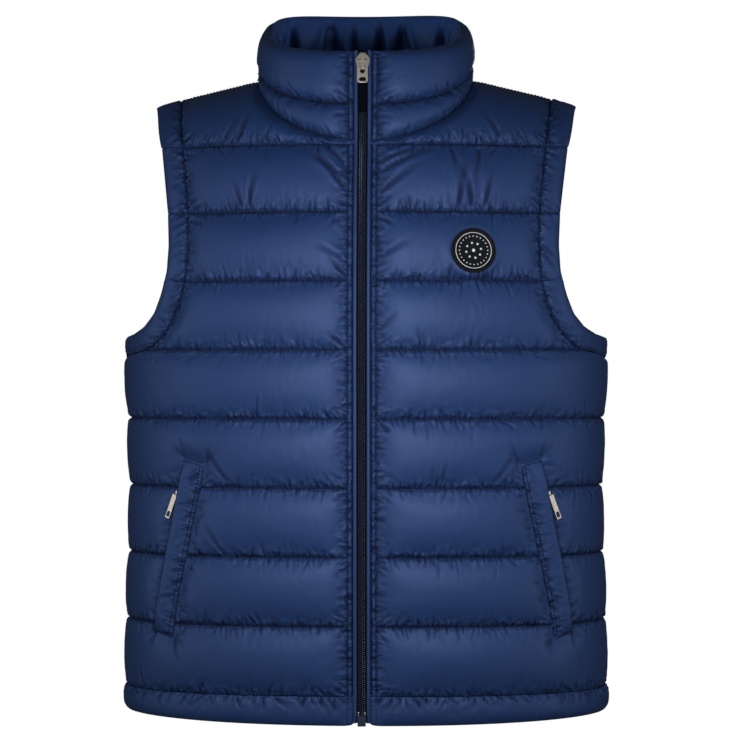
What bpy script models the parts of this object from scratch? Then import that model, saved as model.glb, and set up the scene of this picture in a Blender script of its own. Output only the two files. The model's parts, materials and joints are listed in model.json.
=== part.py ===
"""Quilted, padded vest with a stand collar and a full front zip, filled out as worn.

Metres, +Z up, the front towards -Y and the wearer's left towards +X. The origin lies midway
between the shoulders at the height of the neck, where the wearer carries the vest.
"""
import math

import bmesh
import bpy
import numpy as np
from mathutils import Matrix, Vector

# Walls and seams
GAP = 0.0003
SEAM_WALL = 0.003
EDGE_WALL = 0.005
PUFF = 0.0090
SIDE_PUFF = 0.55
COLLAR_PUFF = 0.0075
FACING_PUFF = 0.0065
BAND_PUFF = 0.0060
BAND_FLAT = 0.35
HEM_PUFF = 0.0045
FADE = 0.028
NECK_EASE = 0.010

# Shapes of the padding: share of a channel's height, of a rolled edge and of a seam's run
CHANNEL_SAG = 0.92
CHANNEL_POWERS = (2.6, 0.55)
ROLL_IN_POWERS = (2.4, 0.55)
ROLL_OUT_POWERS = (3.0, 0.6)
FADE_POWER = 2.2
SIDE_PUFF_FROM = 0.75
LOW_YOKE = 0.050
LOW_COLLAR = 0.040
BAND_PINCH = 0.62
YOKE_LEAST = 0.04
COLLAR_LEAST = 0.3
FACING_LEAN = 0.35
HEM_END_PUFF = 0.35

# Quilting: level stitch lines from the yoke down to the hem band
YOKE_Z = -0.068
CHANNEL = 0.066
CHANNELS = 8
HEM_HEIGHT = 0.028
HEM_SIDE_RISE = 0.0045
CHANNEL_STEPS = (0.0, 0.12, 0.35, 0.65, 0.88)
YOKE_STEPS = (1.0, 0.87, 0.65, 0.38, 0.14)
HEM_STEPS = (0.0, 0.16, 0.45, 0.75, 0.93, 1.0)
BAND_STEPS = (0.0, 0.14, 0.42, 0.72, 0.92, 1.0)
COLLAR_STEPS = (0.0, 0.14, 0.38, 0.66, 0.88)
UNDERARM_ROW = 1

# Body form: half width, depth to the front and to the back, squareness of each level section
FORM_COLUMNS = ("z", "half_width", "front", "back", "square")
FORM = (
    (-0.630, 0.2350, 0.112, 0.106, 2.50),
    (-0.530, 0.2335, 0.114, 0.104, 2.50),
    (-0.400, 0.2305, 0.116, 0.102, 2.45),
    (-0.332, 0.2325, 0.117, 0.105, 2.40),
    (-0.266, 0.2355, 0.118, 0.111, 2.30),
    (-0.200, 0.2340, 0.116, 0.114, 2.20),
    (-0.134, 0.2290, 0.107, 0.110, 2.10),
    (-0.068, 0.2200, 0.090, 0.099, 2.10),
)

# Shoulder ridge and how roundly the yoke rolls over it
NECK_HALF_WIDTH = 0.1025
NECK_POINT_Z = 0.002
SHOULDER_TIP_X = 0.2110
SHOULDER_TIP_Z = -0.0245
SHOULDER_SEAM_X = 0.1850
YOKE_ROUND = {"front": 1.35, "back": 1.90}
NECK_DROP = {"front": 0.0650, "back": 0.0100}

# Armhole: the seam of the band and the free edge it reaches, from the yoke to the underarm
ARMHOLE_COLUMNS = ("seam_z", "seam_x", "edge_z", "edge_x")
ARMHOLE = (
    (-0.276, 0.2350, -0.2540, 0.2350),
    (-0.266, 0.2095, -0.2500, 0.2220),
    (-0.258, 0.1985, -0.2435, 0.2110),
    (-0.244, 0.1870, -0.2305, 0.2005),
    (-0.226, 0.1780, -0.2120, 0.1935),
    (-0.200, 0.1710, -0.1900, 0.1880),
    (-0.168, 0.1685, -0.1650, 0.1865),
    (-0.134, 0.1690, -0.1330, 0.1880),
    (-0.068, 0.1755, -0.0680, 0.1960),
)

# Lengthwise lines that the front's columns follow: neck point, then both edges of the pocket welt
LINE_COLUMNS = ("z", "neck", "welt_in", "welt_out")
LINES = (
    (-0.622, 0.1180, 0.1885, 0.2055),
    (-0.538, 0.1150, 0.1800, 0.1970),
    (-0.375, 0.1080, 0.1490, 0.1685),
    (-0.266, 0.1025, 0.1335, 0.1525),
    (-0.068, 0.1025, 0.1245, 0.1435),
)
FRONT_SPLITS = (1, 8, 2, 2, 3)
BACK_SPLITS = (7, 5)

# Front opening and its zip
FRONT_EDGE = 0.0083
FRONT_STITCH = 0.0136
CHAIN_HALF = 0.0033
TAPE_WALL = 0.0012
CHAIN_FRONT = 0.0026
CHAIN_BACK = 0.0006
BINDING_IN = 0.0048
BINDING_OUT = 0.0080
BINDING_FRONT = 0.0044
BINDING_ROUND = 0.0009
ZIP_POINTS = 22

# Collar: stitch line and rim as height at the side and rise with depth; behind, the rim rises to a level
COLLAR_MID = {"front": (0.013, 0.42), "back": (0.013, 0.31)}
COLLAR_RIM = {"front": (0.054, 0.32), "back": (0.054, 0.025)}
RIM_REACH = 0.072
COLLAR_TOP = {"side": 0.930, "front": 0.965, "back": 1.05}

# Gathers inside the collar: place round the ring, 0 and 1 at the zip, then depth and half width
GATHER_COLUMNS = ("place", "depth", "spread")
GATHERS = (
    (0.285, 0.0030, 0.012),
    (0.345, 0.0045, 0.010),
    (0.425, 0.0050, 0.011),
    (0.490, 0.0035, 0.009),
    (0.555, 0.0050, 0.011),
    (0.640, 0.0040, 0.010),
    (0.715, 0.0030, 0.012),
)
FACING_SPLIT = 2
FACING_ROWS = (0, 2, 5, 6, 7, 8, 9, 10)
GATHER_FLOOR = 0.003

# Main slider, measured from the axis of its pull
SLIDER_Z = 0.0115
SLIDER_HALF = 0.0070
SLIDER_LENGTH = 0.0165
SLIDER_ABOVE = 0.0085
SLIDER_PLATE = 0.0014
SLIDER_STAND = 0.0047
SLIDER_CROWN = 0.0024
SLIDER_SHOULDER = (0.0062, 0.0082)
SLIDER_WAIST = 0.0043
BRIDGE_HALF = 0.0014
BRIDGE_LEGS = ((0.0042, 0.0064), (-0.0058, -0.0038))
BRIDGE_CLEAR = 0.0004
BRIDGE_WALL = 0.0012
METAL_EDGE = 0.0003
WELD = 0.00002
CORNER_STEPS = 2
PULL_CORNER = 0.0016
PULL_SHOULDER = 0.0008
PULL_AXIS_OUT = 0.0030
PULL_HALF = 0.0053
PULL_LENGTH = 0.0215
PULL_THICK = 0.0016
PULL_BAR = 0.0011
WINDOW_HALF = 0.0031
WINDOW_END = 0.0072
WINDOW_CORNER = 0.0006
PULL_HOLE = 0.0023
PULL_HOLE_Z = -0.0100
PULL_HOLE_SIDES = 14
PULL_SLOT_Z = -0.0177
PULL_SLOT = (0.0031, 0.0019)
PULL_SLOT_CORNER = 0.0012
TAIL_HALF = 0.0038
TAIL_THICK = 0.0011
TAIL_END_Z = -0.0500
BOX_SIZE = (0.0078, 0.0040, 0.0100)

# Pocket welts and their zips
WELT_TOP_ROW = len(YOKE_STEPS) + 4 * len(CHANNEL_STEPS) + 3
WELT_ROWS = 14
WELT_PRESS = 0.0055
WELT_WALL = 0.0048
WELT_EDGE = 0.0032
WELT_BESIDE = 0.0020
WELT_LIFT = 0.0046
POCKET_TAPE = (0.30, 1.0)
POCKET_TAPE_WALL = 0.0010
POCKET_TAPE_SEAT = 1.3 * GAP
POCKET_PULL_ROW = 3
POCKET_PULL_TURN = 10.0
POCKET_PULL_LENGTH = 0.0245
POCKET_PULL_HALF = 0.0027
POCKET_PULL_THICK = 0.0012
POCKET_PULL_HEAD = 0.0005
POCKET_PULL_SHOULDER = 0.0008
POCKET_PULL_HOLE = (0.0014, 0.0026, 0.0046)
POCKET_HOLE_CORNER = 0.0008
POCKET_SLIDER = (0.0058, 0.0085, 0.0016)

# Chest badge
BADGE_X = 0.1035
BADGE_Z = -0.1735
BADGE_RADIUS = 0.0215
BADGE_THICK = 0.0026
BADGE_SEAT = 0.031
BADGE_SIDES = 40

NAVY = (0.028, 0.048, 0.127)
NAVY_DARK = (0.012, 0.020, 0.055)
TAPE_BLACK = (0.010, 0.013, 0.028)
STEEL = (0.42, 0.40, 0.38)
RUBBER = (0.010, 0.012, 0.018)
ROUGHNESS = {"shell": 0.55, "lining": 0.65, "tape": 0.8, "metal": 0.35, "rubber": 0.6}


def curve(table, columns, name, at):
    """Smooth value of one named column at the key of the table's first column."""
    rows = sorted(table)
    keys = np.array([row[0] for row in rows])
    values = np.array([row[columns.index(name)] for row in rows])
    slopes = np.gradient(values, keys)
    at = np.clip(np.asarray(at, float), keys[0], keys[-1])
    i = np.clip(np.searchsorted(keys, at) - 1, 0, len(keys) - 2)
    step = keys[i + 1] - keys[i]
    t = (at - keys[i]) / step
    rise = values[i + 1] - values[i]
    start, end = slopes[i] * step, slopes[i + 1] * step
    return values[i] + t * start + t * t * (3 * rise - 2 * start - end) + t ** 3 * (start + end - 2 * rise)


def section(name, z):
    return curve(FORM, FORM_COLUMNS, name, z)


def ring_depth(x, z, side):
    """Depth of the body form in front of or behind the side line."""
    n = section("square", z)
    share = np.clip(np.abs(x) / section("half_width", z), 0, 1)
    return section(side, z) * (1 - share ** n) ** (1 / n)


def ridge_z(x):
    """Height of the shoulder ridge, carried on as a smooth crown over the neck."""
    slope = (NECK_POINT_Z - SHOULDER_TIP_Z) / (SHOULDER_TIP_X - NECK_HALF_WIDTH)
    out = np.maximum(np.abs(x) - NECK_HALF_WIDTH, 0)
    crown = 1 - np.minimum(np.abs(x) / NECK_HALF_WIDTH, 1) ** 2
    return NECK_POINT_Z - slope * out + slope * NECK_HALF_WIDTH / 2 * crown


def neck_z(x, side):
    round_off = np.sqrt(np.clip(1 - (np.abs(x) / NECK_HALF_WIDTH) ** 2, 0, 1))
    return NECK_POINT_Z - (NECK_DROP[side] + NECK_POINT_Z) * round_off


def form_value(point, side):
    """Zero on the body form, above zero outside it."""
    x, depth, z = abs(point[0]), abs(point[1]), point[2]
    if z <= YOKE_Z:
        n = section("square", z)
        return (x / section("half_width", z)) ** n + (depth / section(side, z)) ** n - 1
    m = YOKE_ROUND[side]
    rise = (z - YOKE_Z) / (ridge_z(x) - YOKE_Z)
    return (depth / max(ring_depth(x, YOKE_Z, side), 1e-6)) ** m + rise ** m - 1


def form_normal(point, side):
    """Outward direction of the body form at a point on it."""
    nudge = 0.0008
    point = np.array(point, float)
    slope = []
    for axis in range(3):
        step = np.zeros(3)
        step[axis] = nudge
        slope.append(form_value(point + step, side) - form_value(point - step, side))
    slope = np.array(slope)
    return slope / np.linalg.norm(slope)


def form_normals(grid, side):
    return np.array([[form_normal(p, side) for p in row] for row in grid])


def unit(v):
    return v / np.maximum(np.linalg.norm(v, axis=-1, keepdims=True), 1e-12)


def bump(f):
    """Cross profile of a padded channel: steep at both stitch lines, fullest below the middle."""
    wide, tall = CHANNEL_POWERS
    return (1 - np.abs(2 * np.asarray(f, float) ** CHANNEL_SAG - 1) ** wide) ** tall


def roll(w):
    """Cross profile of a padded strip with a seam at 0 and a full, rolled edge at 1."""
    wide, tall = ROLL_IN_POWERS if w < 0.5 else ROLL_OUT_POWERS
    return (1 - abs(2 * w - 1) ** wide) ** tall


def fade(distance, width=FADE):
    """Rise of the padding away from a seam."""
    t = np.clip(np.asarray(distance, float) / width, 0, 1)
    return 1 - (1 - t) ** FADE_POWER


def level_row(z, side, marks, splits):
    """Points along one level section, evenly split between the marked distances from the middle."""
    a, n, b = section("half_width", z), section("square", z), section(side, z)
    angle = np.arcsin(np.clip(np.array([marks[0], marks[-1]]) / a, 0, 1) ** (n / 2))
    t = np.linspace(angle[0], angle[1], 400)
    x, depth = a * np.sin(t) ** (2 / n), b * np.cos(t) ** (2 / n)
    run = np.concatenate([[0], np.cumsum(np.hypot(np.diff(x), np.diff(depth)))])
    stops = np.interp(np.clip(marks, x[0], x[-1]), x, run)
    at = [np.linspace(stops[i], stops[i + 1], k, endpoint=False) for i, k in enumerate(splits)]
    at = np.concatenate(at + [[stops[-1]]])
    depth_at = np.interp(at, run, depth)
    return np.interp(at, run, x), -depth_at if side == "front" else depth_at


def side_limit(z):
    """Distance from the middle to the armhole seam, or to the side seam below it."""
    if z < UNDERARM_Z - GAP:
        return float(section("half_width", z))
    seam = float(curve(ARMHOLE, ARMHOLE_COLUMNS, "seam_x", z))
    return min(seam, float(section("half_width", z)))


def channel_z(channel, f):
    return YOKE_Z - CHANNEL * (channel + f)


UNDERARM_Z = channel_z(3, CHANNEL_STEPS[UNDERARM_ROW])
HEM_TOP_Z = channel_z(CHANNELS, 0.0)
BODY_ROWS = [channel_z(i, f) for i in range(CHANNELS) for f in CHANNEL_STEPS] + [HEM_TOP_Z]
BODY_PHASE = [f for _ in range(CHANNELS) for f in CHANNEL_STEPS] + [1.0]
FIRST_LEVEL = len(YOKE_STEPS)
UNDERARM_INDEX = FIRST_LEVEL + 3 * len(CHANNEL_STEPS) + UNDERARM_ROW


def marks_at(z, side):
    limit = side_limit(z)
    lines = {k: float(curve(LINES, LINE_COLUMNS, k, z)) for k in LINE_COLUMNS[1:]}
    if side == "front":
        return (FRONT_EDGE, FRONT_STITCH, lines["neck"], lines["welt_in"], lines["welt_out"], limit)
    return (0.0, lines["neck"], limit)


def yoke_rows(side, x_low, neck_first, neck_last):
    """Rows above the first stitch line, rolling over to the neck seam and the shoulder ridge."""
    m = YOKE_ROUND[side]
    x_top = x_low.copy()
    turn = np.linspace(0, math.pi / 2, neck_last - neck_first + 1)
    x_top[neck_first:neck_last + 1] = x_low[neck_first] + (NECK_HALF_WIDTH - x_low[neck_first]) * np.sin(turn)
    x_top[neck_last:] = np.linspace(NECK_HALF_WIDTH, SHOULDER_SEAM_X, len(x_low) - neck_last)
    rise = (neck_z(x_top, side) - YOKE_Z) / (ridge_z(x_top) - YOKE_Z)
    end = np.arcsin(np.clip(rise, 0, 1) ** (m / 2))
    end[neck_last:] = math.pi / 2
    rows = []
    for v in YOKE_STEPS:
        x = x_low + (x_top - x_low) * v
        z = YOKE_Z + (ridge_z(x) - YOKE_Z) * np.sin(v * end) ** (2 / m)
        depth = ring_depth(x, YOKE_Z, side) * np.cos(v * end) ** (2 / m)
        rows.append(np.stack([x, -depth if side == "front" else depth, z], axis=1))
    return rows


def half_panel(side):
    """Inside points of one half, from the middle out, rows from the neck down to the hem band."""
    splits = FRONT_SPLITS if side == "front" else BACK_SPLITS
    neck_first, neck_last = (splits[0], sum(splits[:2])) if side == "front" else (0, splits[0])
    rows = []
    for z in BODY_ROWS:
        x, y = level_row(z, side, marks_at(z, side), splits)
        rows.append(np.stack([x, y, np.full(len(x), z)], axis=1))
    grid = np.array(yoke_rows(side, rows[0][:, 0], neck_first, neck_last) + rows)
    return grid, neck_last + 1


def run_along(grid):
    """Distance across the cloth from the first column."""
    steps = np.linalg.norm(np.diff(grid, axis=1), axis=2)
    return np.concatenate([np.zeros((len(grid), 1)), np.cumsum(steps, axis=1)], axis=1)


def padding(grid, start_seam):
    """Share of the full padding at each point: none on stitch lines and seams."""
    phase = np.array([1 - v for v in YOKE_STEPS] + BODY_PHASE)
    share = bump(phase)[:, None] * np.ones(grid.shape[:2])
    run = run_along(grid)
    share *= fade(run[:, -1:] - run)
    if start_seam is not None:
        share *= fade(run - run[:, start_seam:start_seam + 1])
    wide = np.abs(grid[..., 0]) / section("half_width", grid[..., 2])
    share *= 1 - (1 - SIDE_PUFF) * np.clip((wide - SIDE_PUFF_FROM) / (1 - SIDE_PUFF_FROM), 0, 1)
    height = np.linalg.norm(np.diff(grid[:FIRST_LEVEL + 1], axis=0), axis=2).sum(axis=0)
    share[:FIRST_LEVEL] *= np.clip(height / LOW_YOKE, YOKE_LEAST, 1)[None, :]
    return share


def front_panel():
    """Inside points, outward directions and wall of the front, on the +X side."""
    grid, neck_count = half_panel("front")
    normals = form_normals(grid, "front")
    wall = SEAM_WALL + PUFF * padding(grid, FRONT_SPLITS[0])
    welt_in, welt_out = sum(FRONT_SPLITS[:3]), sum(FRONT_SPLITS[:4])
    rows = slice(WELT_TOP_ROW, WELT_TOP_ROW + WELT_ROWS)
    wall[rows, welt_in:welt_out + 1] = WELT_PRESS
    beside = slice(WELT_TOP_ROW - 1, WELT_TOP_ROW + WELT_ROWS + 1)
    for column in (welt_in - 1, welt_out + 1):
        wall[beside, column] = np.minimum(wall[beside, column], WELT_PRESS + WELT_BESIDE)
    grid[UNDERARM_INDEX:, -1, 1] = -GAP / 2
    grid[0, neck_count - 1:, 1] = -GAP / 2
    return grid, normals, wall, neck_count


def back_panel():
    """The same for the whole back, columns from the wearer's right to the left."""
    grid, neck_count = half_panel("back")
    normals = form_normals(grid, "back")
    wall = SEAM_WALL + PUFF * padding(grid, None)
    grid[UNDERARM_INDEX:, -1, 1] = GAP / 2
    grid[0, neck_count - 1:, 1] = GAP / 2
    grid, normals = (np.concatenate([mirrored(g[:, :0:-1], -1), g], axis=1) for g in (grid, normals))
    return grid, normals, np.concatenate([wall[:, :0:-1], wall], axis=1), neck_count


def neck_line(front, front_neck, back, back_neck):
    """Neck seam from the right zip edge round the back to the left one, and its level directions."""
    half = front[0, :front_neck]
    centre = back.shape[1] // 2
    across = back[0, centre - back_neck + 1:centre + back_neck]
    right, left = mirrored(half, -1), half
    line = np.concatenate([right[:-1], [(right[-1] + across[0]) / 2], across[1:-1],
                           [(left[-1] + across[-1]) / 2], left[-2::-1]])
    return line, ring_normals(line[None])[0]


def ease_to_neck(grid, normals, line, level):
    """Lean the outward directions near the neck seam so that body and collar share the crease."""
    reach = np.linalg.norm(grid[:, :, None] - line[None, None], axis=3)
    nearest = reach.argmin(axis=2)
    weight = np.exp(-(reach.min(axis=2) / NECK_EASE) ** 2)
    return unit(normals + level[nearest] * weight[..., None])


def mirrored(points, sign):
    return points * np.array([sign, 1, 1])


def material(name, colour, roughness, metallic=0.0):
    found = bpy.data.materials.get(name)
    if found:
        return found
    made = bpy.data.materials.new(name)
    made.use_nodes = True
    shader = made.node_tree.nodes["Principled BSDF"]
    shader.inputs["Base Color"].default_value = (*colour, 1)
    shader.inputs["Roughness"].default_value = roughness
    shader.inputs["Metallic"].default_value = metallic
    return made


def add_mesh(name, build, surface):
    """Make an object from a bmesh that the callback fills."""
    mesh = bpy.data.meshes.new(name)
    bm = bmesh.new()
    build(bm)
    bmesh.ops.recalc_face_normals(bm, faces=bm.faces)
    bm.to_mesh(mesh)
    bm.free()
    mesh.materials.append(surface)
    made = bpy.data.objects.new(name, mesh)
    bpy.context.collection.objects.link(made)
    return made


def wall_between(name, outer, inner, surface, coarse_rows, coarse_columns, wrap=False):
    """Closed wall between two grids; the inside keeps every edge point but only a coarse net within."""
    rows, columns = outer.shape[:2]
    last = columns if wrap else columns - 1

    def build(bm):
        out = [[bm.verts.new(p) for p in row] for row in outer]
        edge = {(r, c) for r in (0, rows - 1) for c in range(columns)}
        if not wrap:
            edge |= {(r, c) for c in (0, columns - 1) for r in range(rows)}
        keep = edge | {(r, c % columns) for r in coarse_rows for c in coarse_columns}
        ins = {rc: bm.verts.new(inner[rc]) for rc in sorted(keep)}

        def at(r, c):
            return ins[(r, c % columns)]

        for r in range(rows - 1):
            for c in range(last):
                d = (c + 1) % columns
                bm.faces.new((out[r][c], out[r][d], out[r + 1][d], out[r + 1][c]))
        for r in (0, rows - 1):
            for c in range(last):
                d = (c + 1) % columns
                bm.faces.new((out[r][c], out[r][d], at(r, d), at(r, c)))
        if not wrap:
            for c in (0, columns - 1):
                for r in range(rows - 1):
                    bm.faces.new((out[r][c], out[r + 1][c], at(r + 1, c), at(r, c)))
        for r0, r1 in zip(coarse_rows, coarse_rows[1:]):
            for c0, c1 in zip(coarse_columns, coarse_columns[1:]):
                top = range(c0, c1 + 1) if r0 == 0 else (c0, c1)
                low = range(c1, c0 - 1, -1) if r1 == rows - 1 else (c1, c0)
                far = range(r0, r1 + 1) if c1 == columns - 1 and not wrap else (r0, r1)
                near = range(r1, r0 - 1, -1) if c0 == 0 and not wrap else (r1, r0)
                loop = [at(r0, c) for c in top] + [at(r, c1) for r in list(far)[1:]]
                loop += [at(r1, c) for c in list(low)[1:]] + [at(r, c0) for r in list(near)[1:-1]]
                bm.faces.new(loop)

    return add_mesh(name, build, surface)


def coarse(count, step, fixed=()):
    return sorted(set(range(0, count, step)) | {count - 1} | set(fixed))


def body_rows_coarse(rows):
    return sorted({0, FIRST_LEVEL, rows - 1} | set(range(FIRST_LEVEL, rows, len(CHANNEL_STEPS))))


def armhole_band(name, sign, front, back, surface):
    """Padded strip round the armhole: from the seam the panels share out to the free edge."""
    loop = []
    for side, grid in (("front", front), ("back", back)):
        part = []
        for r in range(UNDERARM_INDEX + 1):
            seam = grid[r, -1].copy()
            if r < FIRST_LEVEL:
                m = YOKE_ROUND[side]
                v = YOKE_STEPS[r]
                low = float(curve(ARMHOLE, ARMHOLE_COLUMNS, "edge_x", YOKE_Z))
                x = low + (SHOULDER_TIP_X - low) * v
                turn = v * math.pi / 2
                z = YOKE_Z + (ridge_z(x) - YOKE_Z) * math.sin(turn) ** (2 / m)
                depth = ring_depth(x, YOKE_Z, side) * max(math.cos(turn), 0.0) ** (2 / m)
            else:
                z = float(curve(ARMHOLE, ARMHOLE_COLUMNS, "edge_z", max(seam[2], ARMHOLE[0][0])))
                x = float(curve(ARMHOLE, ARMHOLE_COLUMNS, "edge_x", seam[2]))
                depth = ring_depth(min(x, float(section("half_width", z))), z, side)
            if r == UNDERARM_INDEX:
                x, depth = float(section("half_width", z)), 0.0
            edge = np.array([x, -depth if side == "front" else depth, z])
            if r in (0, UNDERARM_INDEX):
                seam[1] = 0.0
                edge[1] = 0.0
            phase = YOKE_STEPS[r] if r < FIRST_LEVEL else BODY_PHASE[r - FIRST_LEVEL]
            part.append((seam, edge, form_normal(seam, side), form_normal(edge, side), phase, r))
        loop.append(part)
    around = loop[0] + loop[1][-2:0:-1]
    inner, outer = [], []
    for w in BAND_STEPS:
        ins, outs = [], []
        for seam, edge, seam_normal, edge_normal, phase, r in around:
            start = seam + unit(edge - seam) * GAP
            point = start + (edge - start) * w
            normal = unit(seam_normal + (edge_normal - seam_normal) * w)
            full = BAND_FLAT if r in (0, UNDERARM_INDEX) else BAND_PINCH + (1 - BAND_PINCH) * bump(phase)
            base_wall = SEAM_WALL + (EDGE_WALL - SEAM_WALL) * w
            ins.append(point)
            outs.append(point + normal * (base_wall + BAND_PUFF * full * roll(w)))
        inner.append(ins)
        outer.append(outs)
    inner, outer = mirrored(np.array(inner), sign), mirrored(np.array(outer), sign)
    count = outer.shape[1]
    return wall_between(name, outer, inner, surface, [0, len(BAND_STEPS) - 1],
                        list(range(0, count, 2)) + [count], wrap=True)


def hem_strip(front, back, surface):
    """Padded strip below the last stitch line, in one run from zip to zip round the back."""
    right, left = mirrored(front[-1], -1), front[-1]
    across = back[-1]
    line = np.concatenate([right[:-1], [(right[-1] + across[0]) / 2], across[1:-1],
                           [(left[-1] + across[-1]) / 2], left[-2::-1]])
    sides = ["front" if p[1] < 0 else "back" for p in line]
    inner, outer = [], []
    for w in HEM_STEPS:
        ins, outs = [], []
        for p, side in zip(line, sides):
            drop = HEM_HEIGHT - HEM_SIDE_RISE * (p[0] / section("half_width", HEM_TOP_Z)) ** 2
            z = HEM_TOP_Z - GAP - (drop - GAP) * w
            grow = section("half_width", z) / section("half_width", HEM_TOP_Z)
            point = np.array([p[0] * (grow if abs(p[0]) > FRONT_STITCH else 1), p[1] * grow, z])
            normal = form_normal(np.array([p[0], p[1], HEM_TOP_Z]), side)
            near = fade(abs(p[0]) - FRONT_STITCH) if side == "front" else 1.0
            near = HEM_END_PUFF + (1 - HEM_END_PUFF) * near
            ins.append(point)
            outs.append(point + normal * (SEAM_WALL + HEM_PUFF * near * roll(w)))
        inner.append(ins)
        outer.append(outs)
    inner, outer = np.array(inner), np.array(outer)
    return wall_between("hem_band", outer, inner, surface, [0, len(HEM_STEPS) - 1],
                        coarse(outer.shape[1], 2))


def collar_grid(line):
    """Middle layer of the collar: from the neck seam up to the rim, right zip edge to left."""
    rows = []
    top = []
    for p in line:
        side = "front" if p[1] < 0 else "back"
        x = p[0] * COLLAR_TOP["side"] if abs(p[0]) > FRONT_STITCH else p[0]
        y = p[1] * COLLAR_TOP[side]
        level, rise = COLLAR_RIM[side]
        z = level + rise * (y if side == "front" else math.sin(math.pi / 2 * min(y / RIM_REACH, 1)))
        top.append((x, y, z))
    top = np.array(top)
    steps = [(0, f) for f in COLLAR_STEPS] + [(1, f) for f in COLLAR_STEPS] + [(1, 1.0)]
    for part, f in steps:
        row = []
        for p, t in zip(line, top):
            side = "front" if p[1] < 0 else "back"
            level, rise = COLLAR_MID[side]
            mid_z = level + rise * p[1]
            low = p[2] + GAP
            z = low + (mid_z - low) * f if part == 0 else mid_z + (t[2] - mid_z) * f
            share = (z - p[2]) / (t[2] - p[2])
            row.append((p[0] + (t[0] - p[0]) * share, p[1] + (t[1] - p[1]) * share, z))
        rows.append(row)
    return np.array(rows), steps


def ring_normals(grid):
    """Level outward directions of an upright ring."""
    along = np.gradient(grid, axis=1)
    normal = np.stack([-along[..., 1], along[..., 0], np.zeros(grid.shape[:2])], axis=-1)
    return unit(normal)


def collar_pieces(line, seam_normals, surfaces):
    """Outer collar and, inside it, the gathered facing."""
    grid, steps = collar_grid(line)
    reach = np.linalg.norm(grid - grid[:1], axis=2)
    weight = np.exp(-(reach / NECK_EASE) ** 2)
    normals = unit(ring_normals(grid) + seam_normals[None] * weight[..., None])
    upper = np.array([part for part, _ in steps]) == 1
    share = np.array([roll(f) if part else float(bump(f)) for part, f in steps])
    run = run_along(grid)
    near = fade(run - FRONT_STITCH + FRONT_EDGE) * fade(run[:, -1:] - run - FRONT_STITCH + FRONT_EDGE)
    height = np.linalg.norm(grid[len(COLLAR_STEPS)] - grid[0], axis=1)
    tall = np.clip(height / LOW_COLLAR, COLLAR_LEAST, 1)
    size = np.where(upper[:, None], 1.0, tall[None, :])
    wall = SEAM_WALL + COLLAR_PUFF * share[:, None] * near * size
    wall_between("collar", grid + normals * wall[..., None], grid, surfaces[0],
                 coarse(len(steps), 1), coarse(grid.shape[1], 1))
    rows = list(FACING_ROWS)
    base = grid[rows]
    at = np.arange(0, base.shape[1] - 1 + 1e-9, 1 / FACING_SPLIT)
    fine = np.stack([[np.interp(at, np.arange(base.shape[1]), row[:, k]) for row in base]
                     for k in range(3)], axis=-1)
    inward = -ring_normals(fine)
    inward[0] = unit(inward[0] + np.array([0, 0, FACING_LEAN]))
    run = run_along(fine)
    near = fade(run - FRONT_STITCH + FRONT_EDGE) * fade(run[:, -1:] - run - FRONT_STITCH + FRONT_EDGE)
    round_ring = run / run[:, -1:]
    gather = np.zeros(fine.shape[:2])
    for place, depth, spread in GATHERS:
        gather += depth * np.exp(-((round_ring - place) * run[:, -1:] / spread) ** 2)
    share = share[rows]
    swell = np.maximum(FACING_PUFF * near - gather, 0.0) + GATHER_FLOOR * near
    wall = SEAM_WALL + swell * share[:, None]
    start = fine + inward * GAP
    wall_between("collar_facing", start + inward * wall[..., None], start, surfaces[1],
                 coarse(len(rows), 1), coarse(fine.shape[1], FACING_SPLIT))
    return grid


def sweep(name, path, profile, surface):
    """Sweep a closed profile, given as across and outward sizes, down the front edge."""
    path = np.array(path)
    along = unit(np.gradient(path, axis=0))
    out = np.stack([np.zeros(len(path)), -np.abs(along[:, 2]), along[:, 1] * np.sign(along[:, 2])], axis=1)
    out = unit(out)

    def build(bm):
        rings = [[bm.verts.new(p + np.array([x, 0, 0]) + o * depth) for x, depth in profile]
                 for p, o in zip(path, out)]
        count = len(profile)
        for low, high in zip(rings, rings[1:]):
            for i in range(count):
                j = (i + 1) % count
                bm.faces.new((low[i], low[j], high[j], high[i]))
        bm.faces.new(rings[0])
        bm.faces.new(rings[-1])

    return add_mesh(name, build, surface)


def plate(name, outline, holes, thick, bevel, surface):
    """Flat plate in the XZ plane with holes, thickness to both sides of it, edges rounded."""
    flat = bpy.data.curves.new(name, "CURVE")
    flat.dimensions = "2D"
    flat.fill_mode = "BOTH"
    flat.extrude = thick / 2 - bevel
    flat.bevel_depth = bevel
    flat.bevel_resolution = 1
    flat.offset = -bevel
    for loop in [outline] + list(holes):
        line = flat.splines.new("POLY")
        line.points.add(len(loop) - 1)
        for point, (x, z) in zip(line.points, loop):
            point.co = (x, z, 0, 1)
        line.use_cyclic_u = True
    holder = bpy.data.objects.new(name, flat)
    bpy.context.collection.objects.link(holder)
    bpy.context.view_layer.update()
    mesh = bpy.data.meshes.new_from_object(holder.evaluated_get(bpy.context.evaluated_depsgraph_get()))
    bpy.data.objects.remove(holder)
    mesh.transform(Matrix.Rotation(math.pi / 2, 4, "X"))
    bm = bmesh.new()
    bm.from_mesh(mesh)
    bmesh.ops.remove_doubles(bm, verts=bm.verts, dist=WELD)
    bmesh.ops.recalc_face_normals(bm, faces=bm.faces)
    bm.to_mesh(mesh)
    bm.free()
    mesh.materials.clear()
    mesh.materials.append(surface)
    mesh.name = name
    made = bpy.data.objects.new(name, mesh)
    bpy.context.collection.objects.link(made)
    return made


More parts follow.
